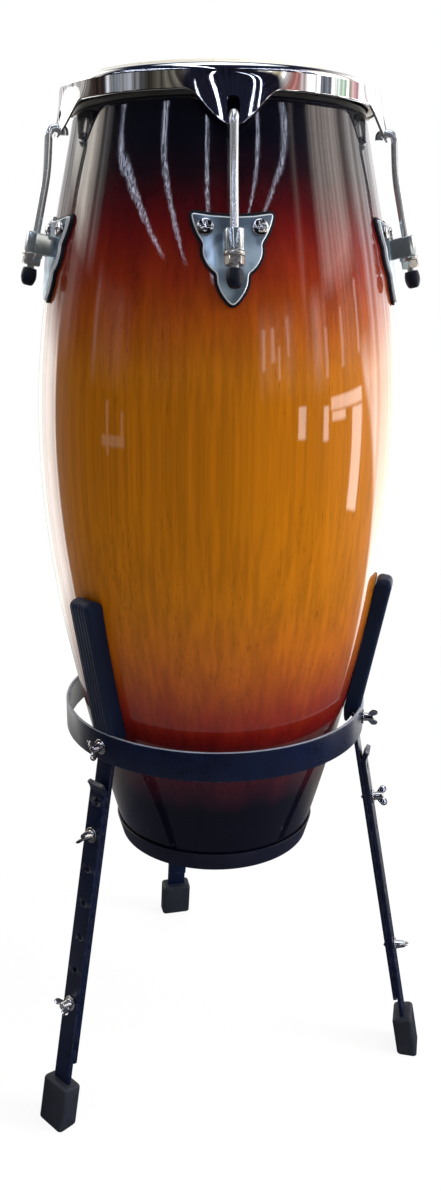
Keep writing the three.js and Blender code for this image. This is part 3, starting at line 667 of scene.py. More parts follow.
def sunburst_lacquer():
    """Gloss lacquer over stained wood: black at the ends, red, then amber at the belly."""
    made, tree, shader, place = start_material(
        "sunburst_lacquer", Coat_Weight=1.0, Coat_Roughness=0.02, Coat_IOR=1.5, Specular_IOR_Level=0.05,
    )
    parts = add(tree, "ShaderNodeSeparateXYZ", {"Vector": place})
    grain = placed_group(tree, grain_nodes, Vector=place, Fineness=170.0, Stretch=300.0)
    drift = minus(tree, grain.outputs["Boards"], 0.5)
    height = spread(tree, parts.outputs["Z"], drum_base, drum_top)
    height = plus(tree, height, times(tree, drift, 0.035))
    stain = ramp(tree, height, [
        (0.0, (0.001, 0.001, 0.004)), (0.10, (0.001, 0.001, 0.004)), (0.16, (0.036, 0.003, 0.007)),
        (0.215, (0.10, 0.004, 0.003)), (0.25, (0.14, 0.012, 0.003)), (0.33, (0.25, 0.062, 0.002)),
        (0.40, (0.27, 0.083, 0.001)), (0.50, (0.28, 0.089, 0.001)), (0.67, (0.26, 0.078, 0.001)),
        (0.73, (0.20, 0.038, 0.001)), (0.775, (0.14, 0.013, 0.002)), (0.82, (0.085, 0.003, 0.002)),
        (0.85, (0.04, 0.001, 0.002)), (0.885, (0.008, 0.001, 0.003)), (0.92, (0.001, 0.001, 0.004)),
        (1.0, (0.001, 0.001, 0.004)),
    ])
    tone = spread(tree, grain.outputs["Grain"], 0.36, 0.64, 0.86, 1.16)
    depth = spread(tree, grain.outputs["Boards"], 0.4, 0.6, 0.1, 0.4)
    lines = times(tree, grain.outputs["Pores"], depth)
    tone = minus(tree, tone, lines)
    grey = add(tree, "ShaderNodeCombineColor", {0: tone, 1: tone, 2: tone})
    colour = mixed(tree, 1.0, stain, grey.outputs[0], "MULTIPLY")
    tree.links.new(colour, shader.inputs["Base Color"])
    smudged(tree, shader, place, 24.0, 0.28, 0.42)
    ripple = plus(tree, grain.outputs["Grain"], grain.outputs["Boards"])
    node = bump(tree, shader, ripple, 0.06, 0.0004)
    tree.links.new(node.outputs["Normal"], shader.inputs["Coat Normal"])
    return made


def bare_wood():
    """The unfinished inside of the shell."""
    made, tree, shader, place = start_material("bare_wood", Specular_IOR_Level=0.25)
    grain = placed_group(tree, grain_nodes, Vector=place, Fineness=80.0, Stretch=20.0)
    colour = ramp(tree, grain.outputs["Grain"], [
        (0.3, (0.30, 0.17, 0.08)), (0.5, (0.48, 0.30, 0.15)), (0.7, (0.60, 0.41, 0.23)),
    ])
    tree.links.new(colour, shader.inputs["Base Color"])
    smudged(tree, shader, place, 40.0, 0.6, 0.85)
    bump(tree, shader, grain.outputs["Pores"], 0.3, 0.0005)
    return made


def drum_skin():
    """A pale skin, mottled by slow clouds and faint fibres."""
    made, tree, shader, place = start_material(
        "drum_skin", Specular_IOR_Level=0.4, Subsurface_Weight=0.08, Subsurface_Scale=0.004,
    )
    cloud = noise(tree, place, 22.0, 5.0, 0.6, 0.6)
    fibre = noise(tree, place, 260.0, 3.0, 0.7, 1.2)
    both = plus(tree, times(tree, cloud, 0.65), times(tree, fibre, 0.35))
    colour = ramp(tree, both, [
        (0.36, (0.60, 0.54, 0.42)), (0.5, (0.74, 0.70, 0.59)), (0.64, (0.83, 0.80, 0.71)),
    ])
    tree.links.new(colour, shader.inputs["Base Color"])
    smudged(tree, shader, place, 18.0, 0.42, 0.62)
    bump(tree, shader, fibre, 0.25, 0.0003)
    return made


def polished(name, colour, least, most, ripple=0.00003, dull=(0.5, 0.5, 0.5), metallic=1.0):
    """Plated metal: a mirror with faint smudges, ripples from pressing and duller spots."""
    made, tree, shader, place = start_material(name, Metallic=metallic)
    marks = smudged(tree, shader, place, 45.0, least, most)
    spots = spread(tree, noise(tree, place, 380.0, 4.0, 0.7), 0.62, 0.74, 0.0, 0.35)
    tree.links.new(mixed(tree, spots, (*colour, 1), (*dull, 1)), shader.inputs["Base Color"])
    bump(tree, shader, marks.outputs["Height"], 0.5, ripple)
    return made


def pressed_plate(name, light, dark):
    """Satin plate with a painted reflection: light below, darker in clouds and towards the shoulders that
    hold the bolts.
    """
    made = polished(name, light, 0.14, 0.26, 0.0001, dark, 0.72)
    tree = made.node_tree
    place = add(tree, "ShaderNodeTexCoord").outputs["Object"]
    height = add(tree, "ShaderNodeSeparateXYZ", {"Vector": place}).outputs["Z"]
    drift = times(tree, minus(tree, noise(tree, place, 55.0, 3.0), 0.5), 0.03)
    # Painted reflection: the colour darkens upwards to the shoulders and in noise clouds
    low, high = plate_top - plate_height * 0.45, plate_top - plate_height * 0.08
    share = spread(tree, plus(tree, height, drift), low, high, 0.0, 0.8)
    clouds = spread(tree, noise(tree, place, 42.0, 2.0, 0.4), 0.47, 0.62, 0.0, 0.75)
    share = math_node(tree, "MAXIMUM", share, clouds)
    colour = tree.nodes["Principled BSDF"].inputs["Base Color"]
    linked = colour.links[0].from_socket
    tree.links.new(mixed(tree, share, linked, (*dark, 1)), colour)
    return made


def worn_skin(tree, shader, place, colours, scale, wear_scale, wear_amount):
    """Stippled colour in two tones, and a third one where the edges are rubbed."""
    first, second, rubbed = ((*colour, 1) for colour in colours)
    skin = placed_group(tree, stipple_nodes, Vector=place, Scale=scale, First=first, Second=second)
    wear = placed_group(tree, wear_nodes, Vector=place, Scale=wear_scale, Amount=wear_amount)
    colour = mixed(tree, wear.outputs["Mask"], skin.outputs["Color"], rubbed)
    tree.links.new(colour, shader.inputs["Base Color"])
    return skin, wear


def moulded(name, first, second, roughness, scale, depth, specular=0.4):
    """Rubber or a moulded skin: two close tones and fine bumps."""
    made, tree, shader, place = start_material(name, Specular_IOR_Level=specular)
    pale = tuple(min(1.0, c * 3 + 0.02) for c in second)
    skin = worn_skin(tree, shader, place, (first, second, pale), scale, 120.0, 0.35)[0]
    smudged(tree, shader, place, 30.0, roughness, roughness + 0.15)
    bump(tree, shader, skin.outputs["Height"], 0.35, depth)
    return made


def painted(name, colour, metal, roughness):
    """Satin paint on steel, rubbed through to metal along its edges here and there."""
    made, tree, shader, place = start_material(name, Specular_IOR_Level=0.35)
    second = tuple(c * 1.5 for c in colour)
    skin, wear = worn_skin(tree, shader, place, (colour, second, metal), 1500.0, 160.0, 0.7)
    tree.links.new(wear.outputs["Mask"], shader.inputs["Metallic"])
    smudged(tree, shader, place, 26.0, roughness, roughness + 0.14)
    bump(tree, shader, skin.outputs["Height"], 0.2, 0.00008)
    return made


lacquer, wood, skin = sunburst_lacquer(), bare_wood(), drum_skin()
rim_chrome = polished("rim_chrome", (0.86, 0.87, 0.89), 0.02, 0.06, 0.00002)
# The plate's two colours are the light and the dark of its painted reflection
plate_chrome = pressed_plate("plate_chrome", (0.46, 0.60, 0.70), (0.04, 0.06, 0.10))
lug_chrome = polished("lug_chrome", (0.55, 0.61, 0.63), 0.1, 0.2, 0.00003, (0.3, 0.32, 0.32), 0.9)
# A brighter, half metallic chrome for the plates' edges: a painted highlight
painted_edge_highlight = polished("painted_edge_highlight", (0.62, 0.67, 0.72), 0.2, 0.3, 0.00002, (0.4, 0.4, 0.4), 0.5)
rod_chrome = polished("rod_chrome", (0.74, 0.77, 0.80), 0.1, 0.2, 0.00003, (0.4, 0.4, 0.4), 0.8)
nut_chrome = polished("nut_chrome", (0.55, 0.53, 0.50), 0.1, 0.22, 0.00003, (0.3, 0.27, 0.25), 0.9)
bright_zinc = polished("bright_zinc", (0.66, 0.66, 0.66), 0.07, 0.18, 0.00005, (0.3, 0.29, 0.27), 1.0)
hoop_steel = polished("hoop_steel", (0.55, 0.56, 0.58), 0.3, 0.45)
gasket_rubber = moulded(
    "gasket_rubber", (0.001, 0.002, 0.007), (0.003, 0.004, 0.010), 0.5, 1200.0, 0.0001, 0.25,
)
cap_rubber = moulded("cap_rubber", (0.001, 0.002, 0.008), (0.003, 0.005, 0.014), 0.36, 1400.0, 0.0001, 0.3)
sleeve_rubber = moulded(
    "sleeve_rubber", (0.001, 0.005, 0.020), (0.002, 0.007, 0.027), 0.42, 900.0, 0.0002, 0.22,
)
foot_rubber = moulded("foot_rubber", (0.006, 0.008, 0.014), (0.012, 0.015, 0.024), 0.5, 700.0, 0.0002, 0.4)
band_paint = moulded("band_paint", (0.002, 0.003, 0.010), (0.004, 0.005, 0.014), 0.3, 500.0, 0.0001, 0.4)
# A paler paint for the ring's top faces: a painted highlight along its top edge
painted_top_highlight = painted("painted_top_highlight", (0.20, 0.22, 0.27), (0.5, 0.5, 0.54), 0.24)
stand_paint = painted("stand_paint", (0.001, 0.003, 0.014), (0.25, 0.25, 0.27), 0.24)


# The drum


def drum_shell():
    """The barrel: the shell's curve, a quarter circle as bearing edge, and the curve less the wall inside.

    The two lines are turned about the drum's axis, and they meet at the top of the edge and at the base.
    """
    centre = shell_top - bearing_edge
    heights = np.linspace(shell_base, centre, 150)
    outside = np.stack([shell_curve(heights), heights], -1)
    a = np.linspace(0, np.pi / 2, 9)[1:]
    middle = shell_curve(centre) - bearing_edge
    edge = np.stack([middle + bearing_edge * np.cos(a), centre + bearing_edge * np.sin(a)], -1)
    down = np.linspace(shell_top - (shell_wall - bearing_edge), shell_base, 60)
    inside = np.stack([shell_curve(down) - shell_wall, down], -1)
    rows = revolved(np.concatenate([outside, edge]), drum_turn_steps)
    hollow = revolved(np.concatenate([edge[-1:], inside, outside[:1]]), drum_turn_steps)
    thing = mesh_object("shell", [(in_row(rows), True, False, 0), (in_row(hollow), True, False, 1)])
    return dress(thing, "drum", "shell_lacquer", [lacquer, wood], "drum_shell")


def bottom_band():
    """The band: a profile on the shell's curve with a lip below it, rounded and turned about the axis."""
    heights = np.linspace(drum_base, band_top, 6)
    outside = np.stack([shell_curve(heights) + clearance + band_thickness, heights], -1)
    upper = np.linspace(band_top, shell_base - clearance, 5)
    inside = np.stack([shell_curve(upper) + clearance, upper], -1)
    lip = shell_curve(drum_base) - band_lip
    under = np.array([(lip, shell_base - clearance), (lip, drum_base)])
    loop = fillet(np.concatenate([outside, inside, under]), band_corner_radii, 5)
    rows = in_row(revolved(loop, drum_turn_steps))
    thing = mesh_object("foot_band", [(rows, True, True, 0)], sharp_angle=50)
    return dress(thing, "drum", "band_black", [band_paint], "bottom_band")


def drum_head():
    """The skin: a profile turned about the axis, its inner and outer side a skin's thickness apart.

    It is flat across, a quarter circle over the bearing edge, a line down, and out under the hoop.
    """
    centre = np.array([shell_curve(shell_top - bearing_edge) - bearing_edge, shell_top - bearing_edge])
    a = np.linspace(np.pi / 2, 0, 14)
    bend = np.stack([np.cos(a), np.sin(a)], -1)
    hoop_inside = hoop_outside - hoop_width
    collar = hoop_inside - head_thickness - clearance
    collar_base = hoop_low.z - clearance - head_thickness
    flange = hoop_inside + hoop_width * 0.8
    under = centre + bend * (bearing_edge + clearance)
    over = centre + bend[::-1] * (bearing_edge + clearance + head_thickness)
    turn = fillet(
        [(collar, collar_base + skin_fold_rise), (collar, collar_base), (flange, collar_base),
         (flange, collar_base + head_thickness), (collar + head_thickness, collar_base + head_thickness),
         (collar + head_thickness, collar_base + skin_fold_rise)],
        skin_fold_radii, 4, closed=False,
    )
    inner_flat = np.stack([np.linspace(0, centre[0], 12)[:-1], np.full(11, drum_top - head_thickness)], -1)
    outer_flat = np.stack([np.linspace(centre[0], 0, 12)[1:], np.full(11, drum_top)], -1)
    profile = np.concatenate([inner_flat, under, turn, over, outer_flat])
    thing = mesh_object("skin", [(in_row(revolved(profile, 192)), True, False, 0)], sharp_angle=60)
    dress(thing, None, "head_skin", [skin], "drum_head")
    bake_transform(thing)


def flesh_hoop():
    """The hoop that the skin is tucked round, inside the rim: a rounded rectangle turned about the axis."""
    inside, outside = hoop_outside - hoop_width, hoop_outside
    loop = fillet(
        [(inside, hoop_low.z), (outside, hoop_low.z), (outside, hoop_high.z), (inside, hoop_high.z)],
        hoop_corner_radii, 5,
    )
    thing = mesh_object("hoop", [(in_row(revolved(loop, 160)), True, True, 0)])
    return dress(thing, "rim_and_hoop", "hoop_steel", [hoop_steel], "flesh_hoop")


def swell(around, z):
    """How far the rim stands out near an ear: a raised cosine round it, in a steady slope down it."""
    share = np.minimum(around / ear_swell_half_width, 1)
    down = np.clip((swell_top - z) / (swell_top - ear_tip), 0, 1)
    slope = ear_swell_slope * (np.sqrt(down**2 + ear_swell_ease**2) - ear_swell_ease)
    return ear_swell * np.cos(share * np.pi / 2) ** 2 * slope


def rim():
    """The rolled rim: one upright profile, its lower edge let down at each ear by a raised cosine."""
    turns = np.linspace(0, 2 * np.pi, 720, endpoint=False)
    nearest = np.min([np.abs((turns - a + np.pi) % (2 * np.pi) - np.pi) for a in lug_angles], 0)
    around = nearest[:, None] * rim_radius
    low = rim_base - ear_drop * np.cos(np.minimum(around / ear_half_width, 1) * np.pi / 2) ** 2
    roll = np.array([rim_radius - rim_roll, rim_top - rim_roll])
    z = roll[1] + (low + rim_sheet / 2 - roll[1]) * np.linspace(0, 1, 34)[None, :]
    outside = np.stack([rim_radius + swell(around, z), z], -1)
    inside = (outside - [rim_sheet, 0])[:, ::-1]
    a = np.linspace(0, np.pi, 8)[1:-1][None, :]
    edge_r = rim_radius + swell(around, low) - rim_sheet / 2 + rim_sheet / 2 * np.cos(a)
    edge = np.stack([edge_r, low + rim_sheet / 2 * (1 - np.sin(a))], -1)
    a = np.linspace(0, np.pi / 2, 9)[1:]
    inner_roll = roll + (rim_roll - rim_sheet) * np.stack([np.cos(a), np.sin(a)], -1)
    outer_roll = (roll + rim_roll * np.stack([np.cos(a), np.sin(a)], -1))[::-1]
    a = np.linspace(-np.pi / 2, -3 * np.pi / 2, 7)
    tip = np.array([roll[0] - rim_lip, rim_top - rim_sheet / 2])
    tip = tip + rim_sheet / 2 * np.stack([np.cos(a), np.sin(a)], -1)
    fixed = np.concatenate([inner_roll, tip, outer_roll])
    fixed = np.broadcast_to(fixed, (len(turns),) + fixed.shape)
    profile = np.concatenate([outside, edge, inside, fixed], 1)
    grid = np.stack([
        profile[..., 0] * np.cos(turns)[:, None] + axis_x,
        profile[..., 0] * np.sin(turns)[:, None] + axis_y, profile[..., 1],
    ], -1)
    thing = mesh_object("tuning_rim", [(grid, True, True, 0)], sharp_angle=50)
    holes = [(in_row(ear_hole_rows(), angle), False, True, 0) for angle in lug_angles]
    cut(thing, holes, hole_edge, sharp_angle=50)
    return dress(thing, "rim_and_hoop", "rim_chrome", [rim_chrome], "rim")


def ear_hole_rows():
    """A cutter for an ear's upright slot: two half circles joined by straight sides, drawn outwards."""
    a = np.linspace(0, np.pi, 20)
    upper = np.stack([np.cos(a), np.sin(a)], -1) * ear_hole_radius + [0, ear_hole_length]
    lower = np.stack([-np.cos(a), -np.sin(a)], -1) * ear_hole_radius
    shape = np.concatenate([upper, lower]) + [0, ear_tip + ear_hole_rise]
    x = np.array([rim_radius - 2 * rim_sheet, rim_radius + 2 * ear_swell])[:, None]
    x = np.broadcast_to(x, (2, len(shape)))
    return closed_ends(np.stack([x, x * 0 + shape[:, 0], x * 0 + shape[:, 1]], -1))


# The lug stations


def plate_outline():
    """The plate's outline as seen from outside, as (y, z) points, smooth between its corners."""
    half = np.array(plate_outline_shares)
    right = np.stack([half[:, 0] * plate_width / 2, plate_top - half[:, 1] * plate_height], -1)
    left = right[1:-1][::-1] * [-1, 1]
    return np.concatenate([right, left])


def edge_rows(outline, low, high, steps):
    """A sheet's edge on the drum: its outline at the back, then moved in as it rises to the face."""
    places = [(0, low)] + [(inset, high - below) for inset, below in steps]
    return [on_drum(*moved_in(outline, inset).T, out) for inset, out in places]


def plate_sheet(outline, low, high, steps):
    """A closed sheet on the drum: its back from the middle, its edge, and its face to the middle."""
    middle = np.array([0, plate_top - plate_height * 0.38])
    inner = moved_in(outline, steps[-1][0])
    back = [on_drum(*(middle + (outline - middle) * share).T, low) for share in np.linspace(0, 1, 6)]
    shares = np.linspace(0.85, 0, sheet_middle_rows)
    face = [on_drum(*(middle + (inner - middle) * share).T, high) for share in shares]
    return np.stack(back + edge_rows(outline, low, high, steps) + face)


def side_plate(n, angle):
    """The pressed plate, a sheet on the shell's curve with a painted highlight on its edge, and the strap for
    the rod.
    """
    outline = resample(fillet(plate_outline(), plate_corner, 5), 260, True)
    sheet = plate_sheet(outline, plate_inner, plate_outer, plate_edge_steps)
    edge = len(sheet) - sheet_middle_rows - 2  # the face starts at the edge's last step but one
    # The back and the edge rows take the brighter chrome, a painted highlight along the plate's edge
    thing = mesh_object("plate_" + n, [
        (in_row(sheet[edge:], angle), False, True, 0),
        (in_row(sheet[: edge + 1], angle), False, True, 1),
        (in_row(lug_strap_rows(), angle), False, True, 2),
    ])
    finishes = [plate_chrome, painted_edge_highlight, lug_chrome]
    return dress(thing, "drum", "plate_chrome", finishes, "side_plate_" + n)


def lug_strap_rows():
    """The strap: a flat section carried out of the plate, round the rod and back."""
    half = lug_width / 2 - lug_strap / 2
    back, front = -lug_reach + plate_outer - lug_weld_depth, half
    bevel = half * 0.55
    line = [(back, -half), (front - bevel, -half), (front, -half + bevel), (front, half - bevel),
            (front - bevel, half), (back, half)]
    path = resample(fillet(line, lug_strap_bend, 6, closed=False), 70)
    tangent = np.gradient(path, axis=0)
    tangent /= np.linalg.norm(tangent, axis=1, keepdims=True)
    section = rounded_rectangle(lug_strap, lug_height, lug_strap_corner, 4)
    normal = np.stack([tangent[:, 1], -tangent[:, 0]], -1)
    flat = path[:, None, :] + normal[:, None, :] * section[None, :, 0:1]
    local = np.concatenate([flat, np.broadcast_to(section[None, :, 1:], flat.shape[:2] + (1,))], -1)
    return closed_ends(on_rod(local))


def on_rod(points):
    """Points made about z, hung on the rod's line at the lug with z running down the rod."""
    direction = np.array([-rod_along[0], 0, -rod_along[1]])
    ey = np.array([0, 1.0, 0])
    ex = np.array([rod_along[1], 0, -rod_along[0]])
    origin = np.array([lug_point[0], 0, lug_point[1]])
    return origin + points[..., 0:1] * ex + points[..., 1:2] * ey + points[..., 2:3] * direction


def gasket(n, angle):
    """The rubber sheet under a plate: the plate's outline moved out all round, on the shell's curve."""
    outline = resample(fillet(plate_outline(), plate_corner, 5), 200, True)
    outline = moved_in(outline, -gasket_margin)
    sheet = plate_sheet(outline, gasket_inner, gasket_outer, gasket_edge_steps)
    thing = mesh_object("gasket_sheet_" + n, [(in_row(sheet, angle), False, True, 0)])
    return dress(thing, "drum", "gasket_black", [gasket_rubber], "gasket_" + n)


def bolt_places():
    """Where a plate's two bolts cross the shell, and the way each points out of it."""
    z = plate_top - bolt_drop
    lean = math.atan(-shell_curve.deriv()(z))
    for side in (-1, 1):
        turn = side * bolt_offset / shell_curve(z)
        point = np.array([shell_curve(z) * math.cos(turn), shell_curve(z) * math.sin(turn), z])
        flat = math.cos(lean)
        yield point, np.array([flat * math.cos(turn), flat * math.sin(turn), math.sin(lean)])


def crossed_head(start):
    """A head about z: a flattened dome over its radius, less a crossed recess with sloping sides."""
    r = np.linspace(1, 0, 22)[:, None] * bolt_head_radius
    a = np.linspace(0, 2 * np.pi, 72, endpoint=False)[None, :]
    x, y = r * np.cos(a), r * np.sin(a)
    rounding = np.sqrt(np.maximum(1 - (r / bolt_head_radius) ** 2.4, 0))
    dome = start + bolt_head_height * (0.35 + 0.65 * rounding)
    arm, reach = bolt_head_radius * 0.13, bolt_head_radius * 0.62

    def slot(across, along):
        """How much of its full depth one slot of the cross has at each point."""
        return np.clip(1.6 - np.abs(across) / arm, 0, 1) * np.clip((reach - np.abs(along)) / arm, 0, 1)

    z = dome - bolt_head_height * 0.4 * np.maximum(slot(x, y), slot(y, x))
    wall = np.stack([x[:1], y[:1], np.full_like(x[:1], start)], -1)
    return np.concatenate([wall, np.stack([x, y, z + 0 * x], -1)])


def lug_bolts(n, angle):
    """Two bolts, each a turned shank with a head and a nut, and the plate they share inside the shell."""
    surfaces = []
    inner = -shell_wall - clearance
    behind = inner - backing_thickness
    for point, out in bolt_places():
        head_at = plate_outer + clearance
        end = behind - backing_nut_height - bolt_radius
        shank = fillet(
            [(0, end), (bolt_radius, end), (bolt_radius, head_at), (0, head_at)],
            [0, bolt_end_radius, 0, 0], 3, closed=False,
        )
        nut = hexagon_rows(backing_nut_radius, bolt_radius * 0.9, end + bolt_radius, behind)
        grids = [(crossed_head(head_at), False, True), (revolved(shank, 32), True, False), (nut, True, True)]
        for grid, rows, columns in grids:
            surfaces.append((in_row(set_on(grid, point, out), angle), rows, columns, 0))
    middle = np.array([0, plate_top - bolt_drop])
    corners = rounded_rectangle(backing_length, backing_width, backing_width / 4)
    shape = resample(corners, 96, True) + middle
    centre = np.broadcast_to(middle, shape.shape).T
    back, front = on_drum(*centre, behind), on_drum(*centre, inner)
    edge = edge_rows(shape, behind, inner, backing_edge_steps)
    surfaces.append((in_row(np.stack([back] + edge + [front]), angle), False, True, 0))
    thing = mesh_object("bolts_" + n, surfaces)
    return dress(thing, "drum", "bolt_zinc", [bright_zinc], "lug_bolts_" + n)


def hexagon_rows(corner, bore, low, high, chamfer=nut_chamfer, count=96):
    """A hexagon nut about z: six flats cut by a cone at each end, and a round bore."""
    a = np.linspace(0, 2 * np.pi, count, endpoint=False)[:, None]
    flat = corner * math.cos(math.pi / 6)
    side = flat / np.cos((a + np.pi / 6) % (np.pi / 3) - np.pi / 6)
    rise = np.array([0, 0, 0.35, 1.0])[None, :]
    radius = np.minimum(side, flat * 0.97 + (corner - flat * 0.97) * rise * 1.6)
    z_low = low + chamfer * rise + 0 * a
    wall = np.concatenate([radius, radius[:, ::-1]], 1)
    z = np.concatenate([z_low, (high + low) - z_low[:, ::-1]], 1)
    wall[:, 0] = wall[:, -1] = bore
    return np.stack([wall * np.cos(a), wall * np.sin(a), z], -1)


def rod_path():
    """The rod's middle line: up from its cap, over the bend, into the hook and down to its tip."""
    line = np.array([
        lug_point - rod_along * (cap_start + cap_grip), rod_bend, rod_top,
        (hook_tip, hook_height), (hook_tip, hook_height - hook_tip_radius - hook_tip_length),
    ])
    reach = [0, rod_bend_length, hook_radius * 1.2, hook_tip_radius * 1.2, 0]
    return fillet(line, reach, 16, closed=False)


def tuning_rod(n, angle):
    """A round rod along its line; a helix is cut into its lower end for the nut."""
    line = rod_path()
    threaded = lug_height / 2 + nut_flange_height + nut_height + nut_cap_gap + cap_grip
    low = np.linspace(0, threaded, 190)[:, None] * rod_along + line[0]
    upper = resample(np.concatenate([low[-1:] + rod_along * rod_step, line[1:]]), 120)
    path = np.concatenate([low, upper])
    a = np.linspace(0, 2 * np.pi, 28, endpoint=False)[None, :]
    along = np.concatenate([[0], np.cumsum(np.linalg.norm(np.diff(path, axis=0), axis=1))])[:, None]
    depth = thread_depth * np.clip((threaded - along) / thread_pitch, 0, 1)
    radius = rod_radius - depth * (0.5 + 0.5 * np.cos(2 * np.pi * along / thread_pitch - a))
    section = np.stack([radius * np.cos(a), radius * np.sin(a)], -1)
    grid = closed_ends(swept(path, section))
    thing = mesh_object("rod_" + n, [(in_row(grid, angle), False, True, 0)], sharp_angle=50)
    return dress(thing, "rod_" + n, "rod_chrome", [rod_chrome], "tuning_rod_" + n)


def tuning_nut(n, angle):
    """A hexagon nut on its flange, a rounded rectangle turned about the rod, that bears on the lug."""
    split = nut_start + nut_flange_height
    bore = rod_radius + clearance
    ring = fillet(
        [(bore, nut_start), (nut_flange_radius, nut_start), (nut_flange_radius, split), (bore, split)],
        nut_flange_radii, 5,
    )
    surfaces = [
        (in_row(on_rod(revolved(ring, 72)), angle), True, True, 0),
        (in_row(on_rod(hexagon_rows(nut_radius, bore, split - nut_overlap, nut_end)), angle), True, True, 0),
    ]
    thing = mesh_object("nut_" + n, surfaces)
    return dress(thing, "nut_" + n, "nut_chrome", [nut_chrome], "tuning_nut_" + n)


def rod_cap(n, angle):
    """The rubber cap on a rod's end: a bored profile with a soft shoulder, turned about the rod."""
    bore, end = rod_radius + clearance, cap_start + cap_height
    loop = fillet(
        [(bore, cap_start), (cap_radius * 0.86, cap_start), (cap_radius, cap_start + cap_height * 0.3),
         (cap_radius, cap_start + cap_height * 0.62), (cap_radius * 0.66, end), (0, end)],
        cap_corner_radii, 10, closed=False,
    )
    inside = np.array([(0, cap_start + cap_grip + clearance), (bore, cap_start + cap_grip + clearance)])
    rows = in_row(on_rod(revolved(np.concatenate([inside, loop]), 64)), angle)
    thing = mesh_object("cap_" + n, [(rows, True, False, 0)])
    return dress(thing, "rod_" + n, "cap_black", [cap_rubber], "rod_cap_" + n)


# The stand


def stand_ring():
    """The stand's hoop: a rounded rectangle turned about the axis, with a painted highlight in paler paint on
    its top edge.
    """
    inside = ring_outer - ring_thickness
    loop = fillet(
        [(inside, ring_base), (ring_outer, ring_base), (ring_outer, ring_top), (inside, ring_top)],
        ring_corner, 5,
    )
    thing = mesh_object("ring", [(in_row(revolved(loop, drum_turn_steps)), True, True, 0)])
    # Faces that look up take the paler paint, a painted highlight along the top edge
    for face in thing.data.polygons:
        face.material_index = int(face.normal.z > ring_top_facing)
    return dress(thing, "stand", "ring_black", [stand_paint, painted_top_highlight], "stand_ring")


def bar_rows(line, bend):
    """A flat bar: a rounded rectangle carried along a bent line."""
    path = resample(fillet(line, bend, 10, closed=False), 160)
    return closed_ends(swept(path, rounded_rectangle(bar_thickness, bar_width, bar_corner, 4)))


def hole_rows(at, long=0.0):
    """A cutter for a hole or slot through a leg's bar: two half circles, set apart down the leg."""
    a = np.linspace(-np.pi / 2, np.pi / 2, 14)
    end = np.stack([np.cos(a), np.sin(a)], -1) * hole_radius
    shape = np.concatenate([end + [long, 0], -end])
    reach = np.array([-2, 2])[:, None] * bar_thickness
    x = at[0] + leg_down[0] * shape[None, :, 0] + leg_out[0] * reach
    z = at[1] + leg_down[1] * shape[None, :, 0] + leg_out[1] * reach
    y = np.broadcast_to(shape[None, :, 1], x.shape)
    return closed_ends(np.stack([x, y, z], -1))


def upper_leg(n, angle):
    """One flat bar: the arm in its sleeve, flat against the ring, then leaning out as a leg."""
    end_at = foot_start - upper_leg_gap
    end = lower_top + leg_down * end_at - leg_out * (bar_thickness + clearance)
    top = arm_high - arm_along * sleeve_top
    rows = in_row(bar_rows([top, arm_low, knee, end], bar_bend), angle)
    thing = mesh_object("bar_" + n, [(rows, False, True, 0)], sharp_angle=50)
    slots = [(in_row(hole_rows(hole_at(h), hole_pitch), angle), False, True, 0) for h in screw_holes]
    cut(thing, slots, hole_edge, sharp_angle=50)
    return dress(thing, "stand", "bar_black", [stand_paint], "upper_leg_" + n)


def lower_leg(n, angle):
    """The flat bar with its row of holes and its bent tab, down into its foot."""
    c, s = math.cos(-tab_angle), math.sin(-tab_angle)
    bent = np.array([-leg_down[0] * c + leg_down[1] * s, -leg_down[0] * s - leg_down[1] * c])
    line = [lower_top + bent * tab_length, lower_top, lower_top + leg_down * lower_length]
    rows = in_row(bar_rows(line, tab_bend), angle)
    thing = mesh_object("leg_bar_" + n, [(rows, False, True, 0)], sharp_angle=50)
    holes = []
    for h in range(hole_count):
        long = slot_length - 2 * hole_radius if h == 0 else 0.0
        holes.append((in_row(hole_rows(hole_at(h), long), angle), False, True, 0))
    cut(thing, holes, hole_edge, sharp_angle=50)
    return dress(thing, "leg_" + n, "bar_black", [stand_paint], "lower_leg_" + n)


def sleeve_section(inner, outer):
    """The sleeve across: a rounded rectangle, less shallow grooves in a cosine wave on its outer face."""
    half = sleeve_width / 2
    corners = [(-inner, -half), (outer, -half), (outer, half), (-inner, half)]
    round_off = sleeve_corner * 1.3
    radii = [sleeve_back_corner, round_off, round_off, sleeve_back_corner]
    shape = resample(fillet(corners, radii, 8), 220, True)
    face = np.clip((shape[:, 0] - outer + sleeve_groove_reach) / sleeve_groove_reach, 0, 1)
    wave = 0.5 - 0.5 * np.cos(2 * np.pi * shape[:, 1] / sleeve_groove_pitch)
    groove = sleeve_groove_depth * face * wave
    return shape - np.stack([groove, 0 * groove], -1)


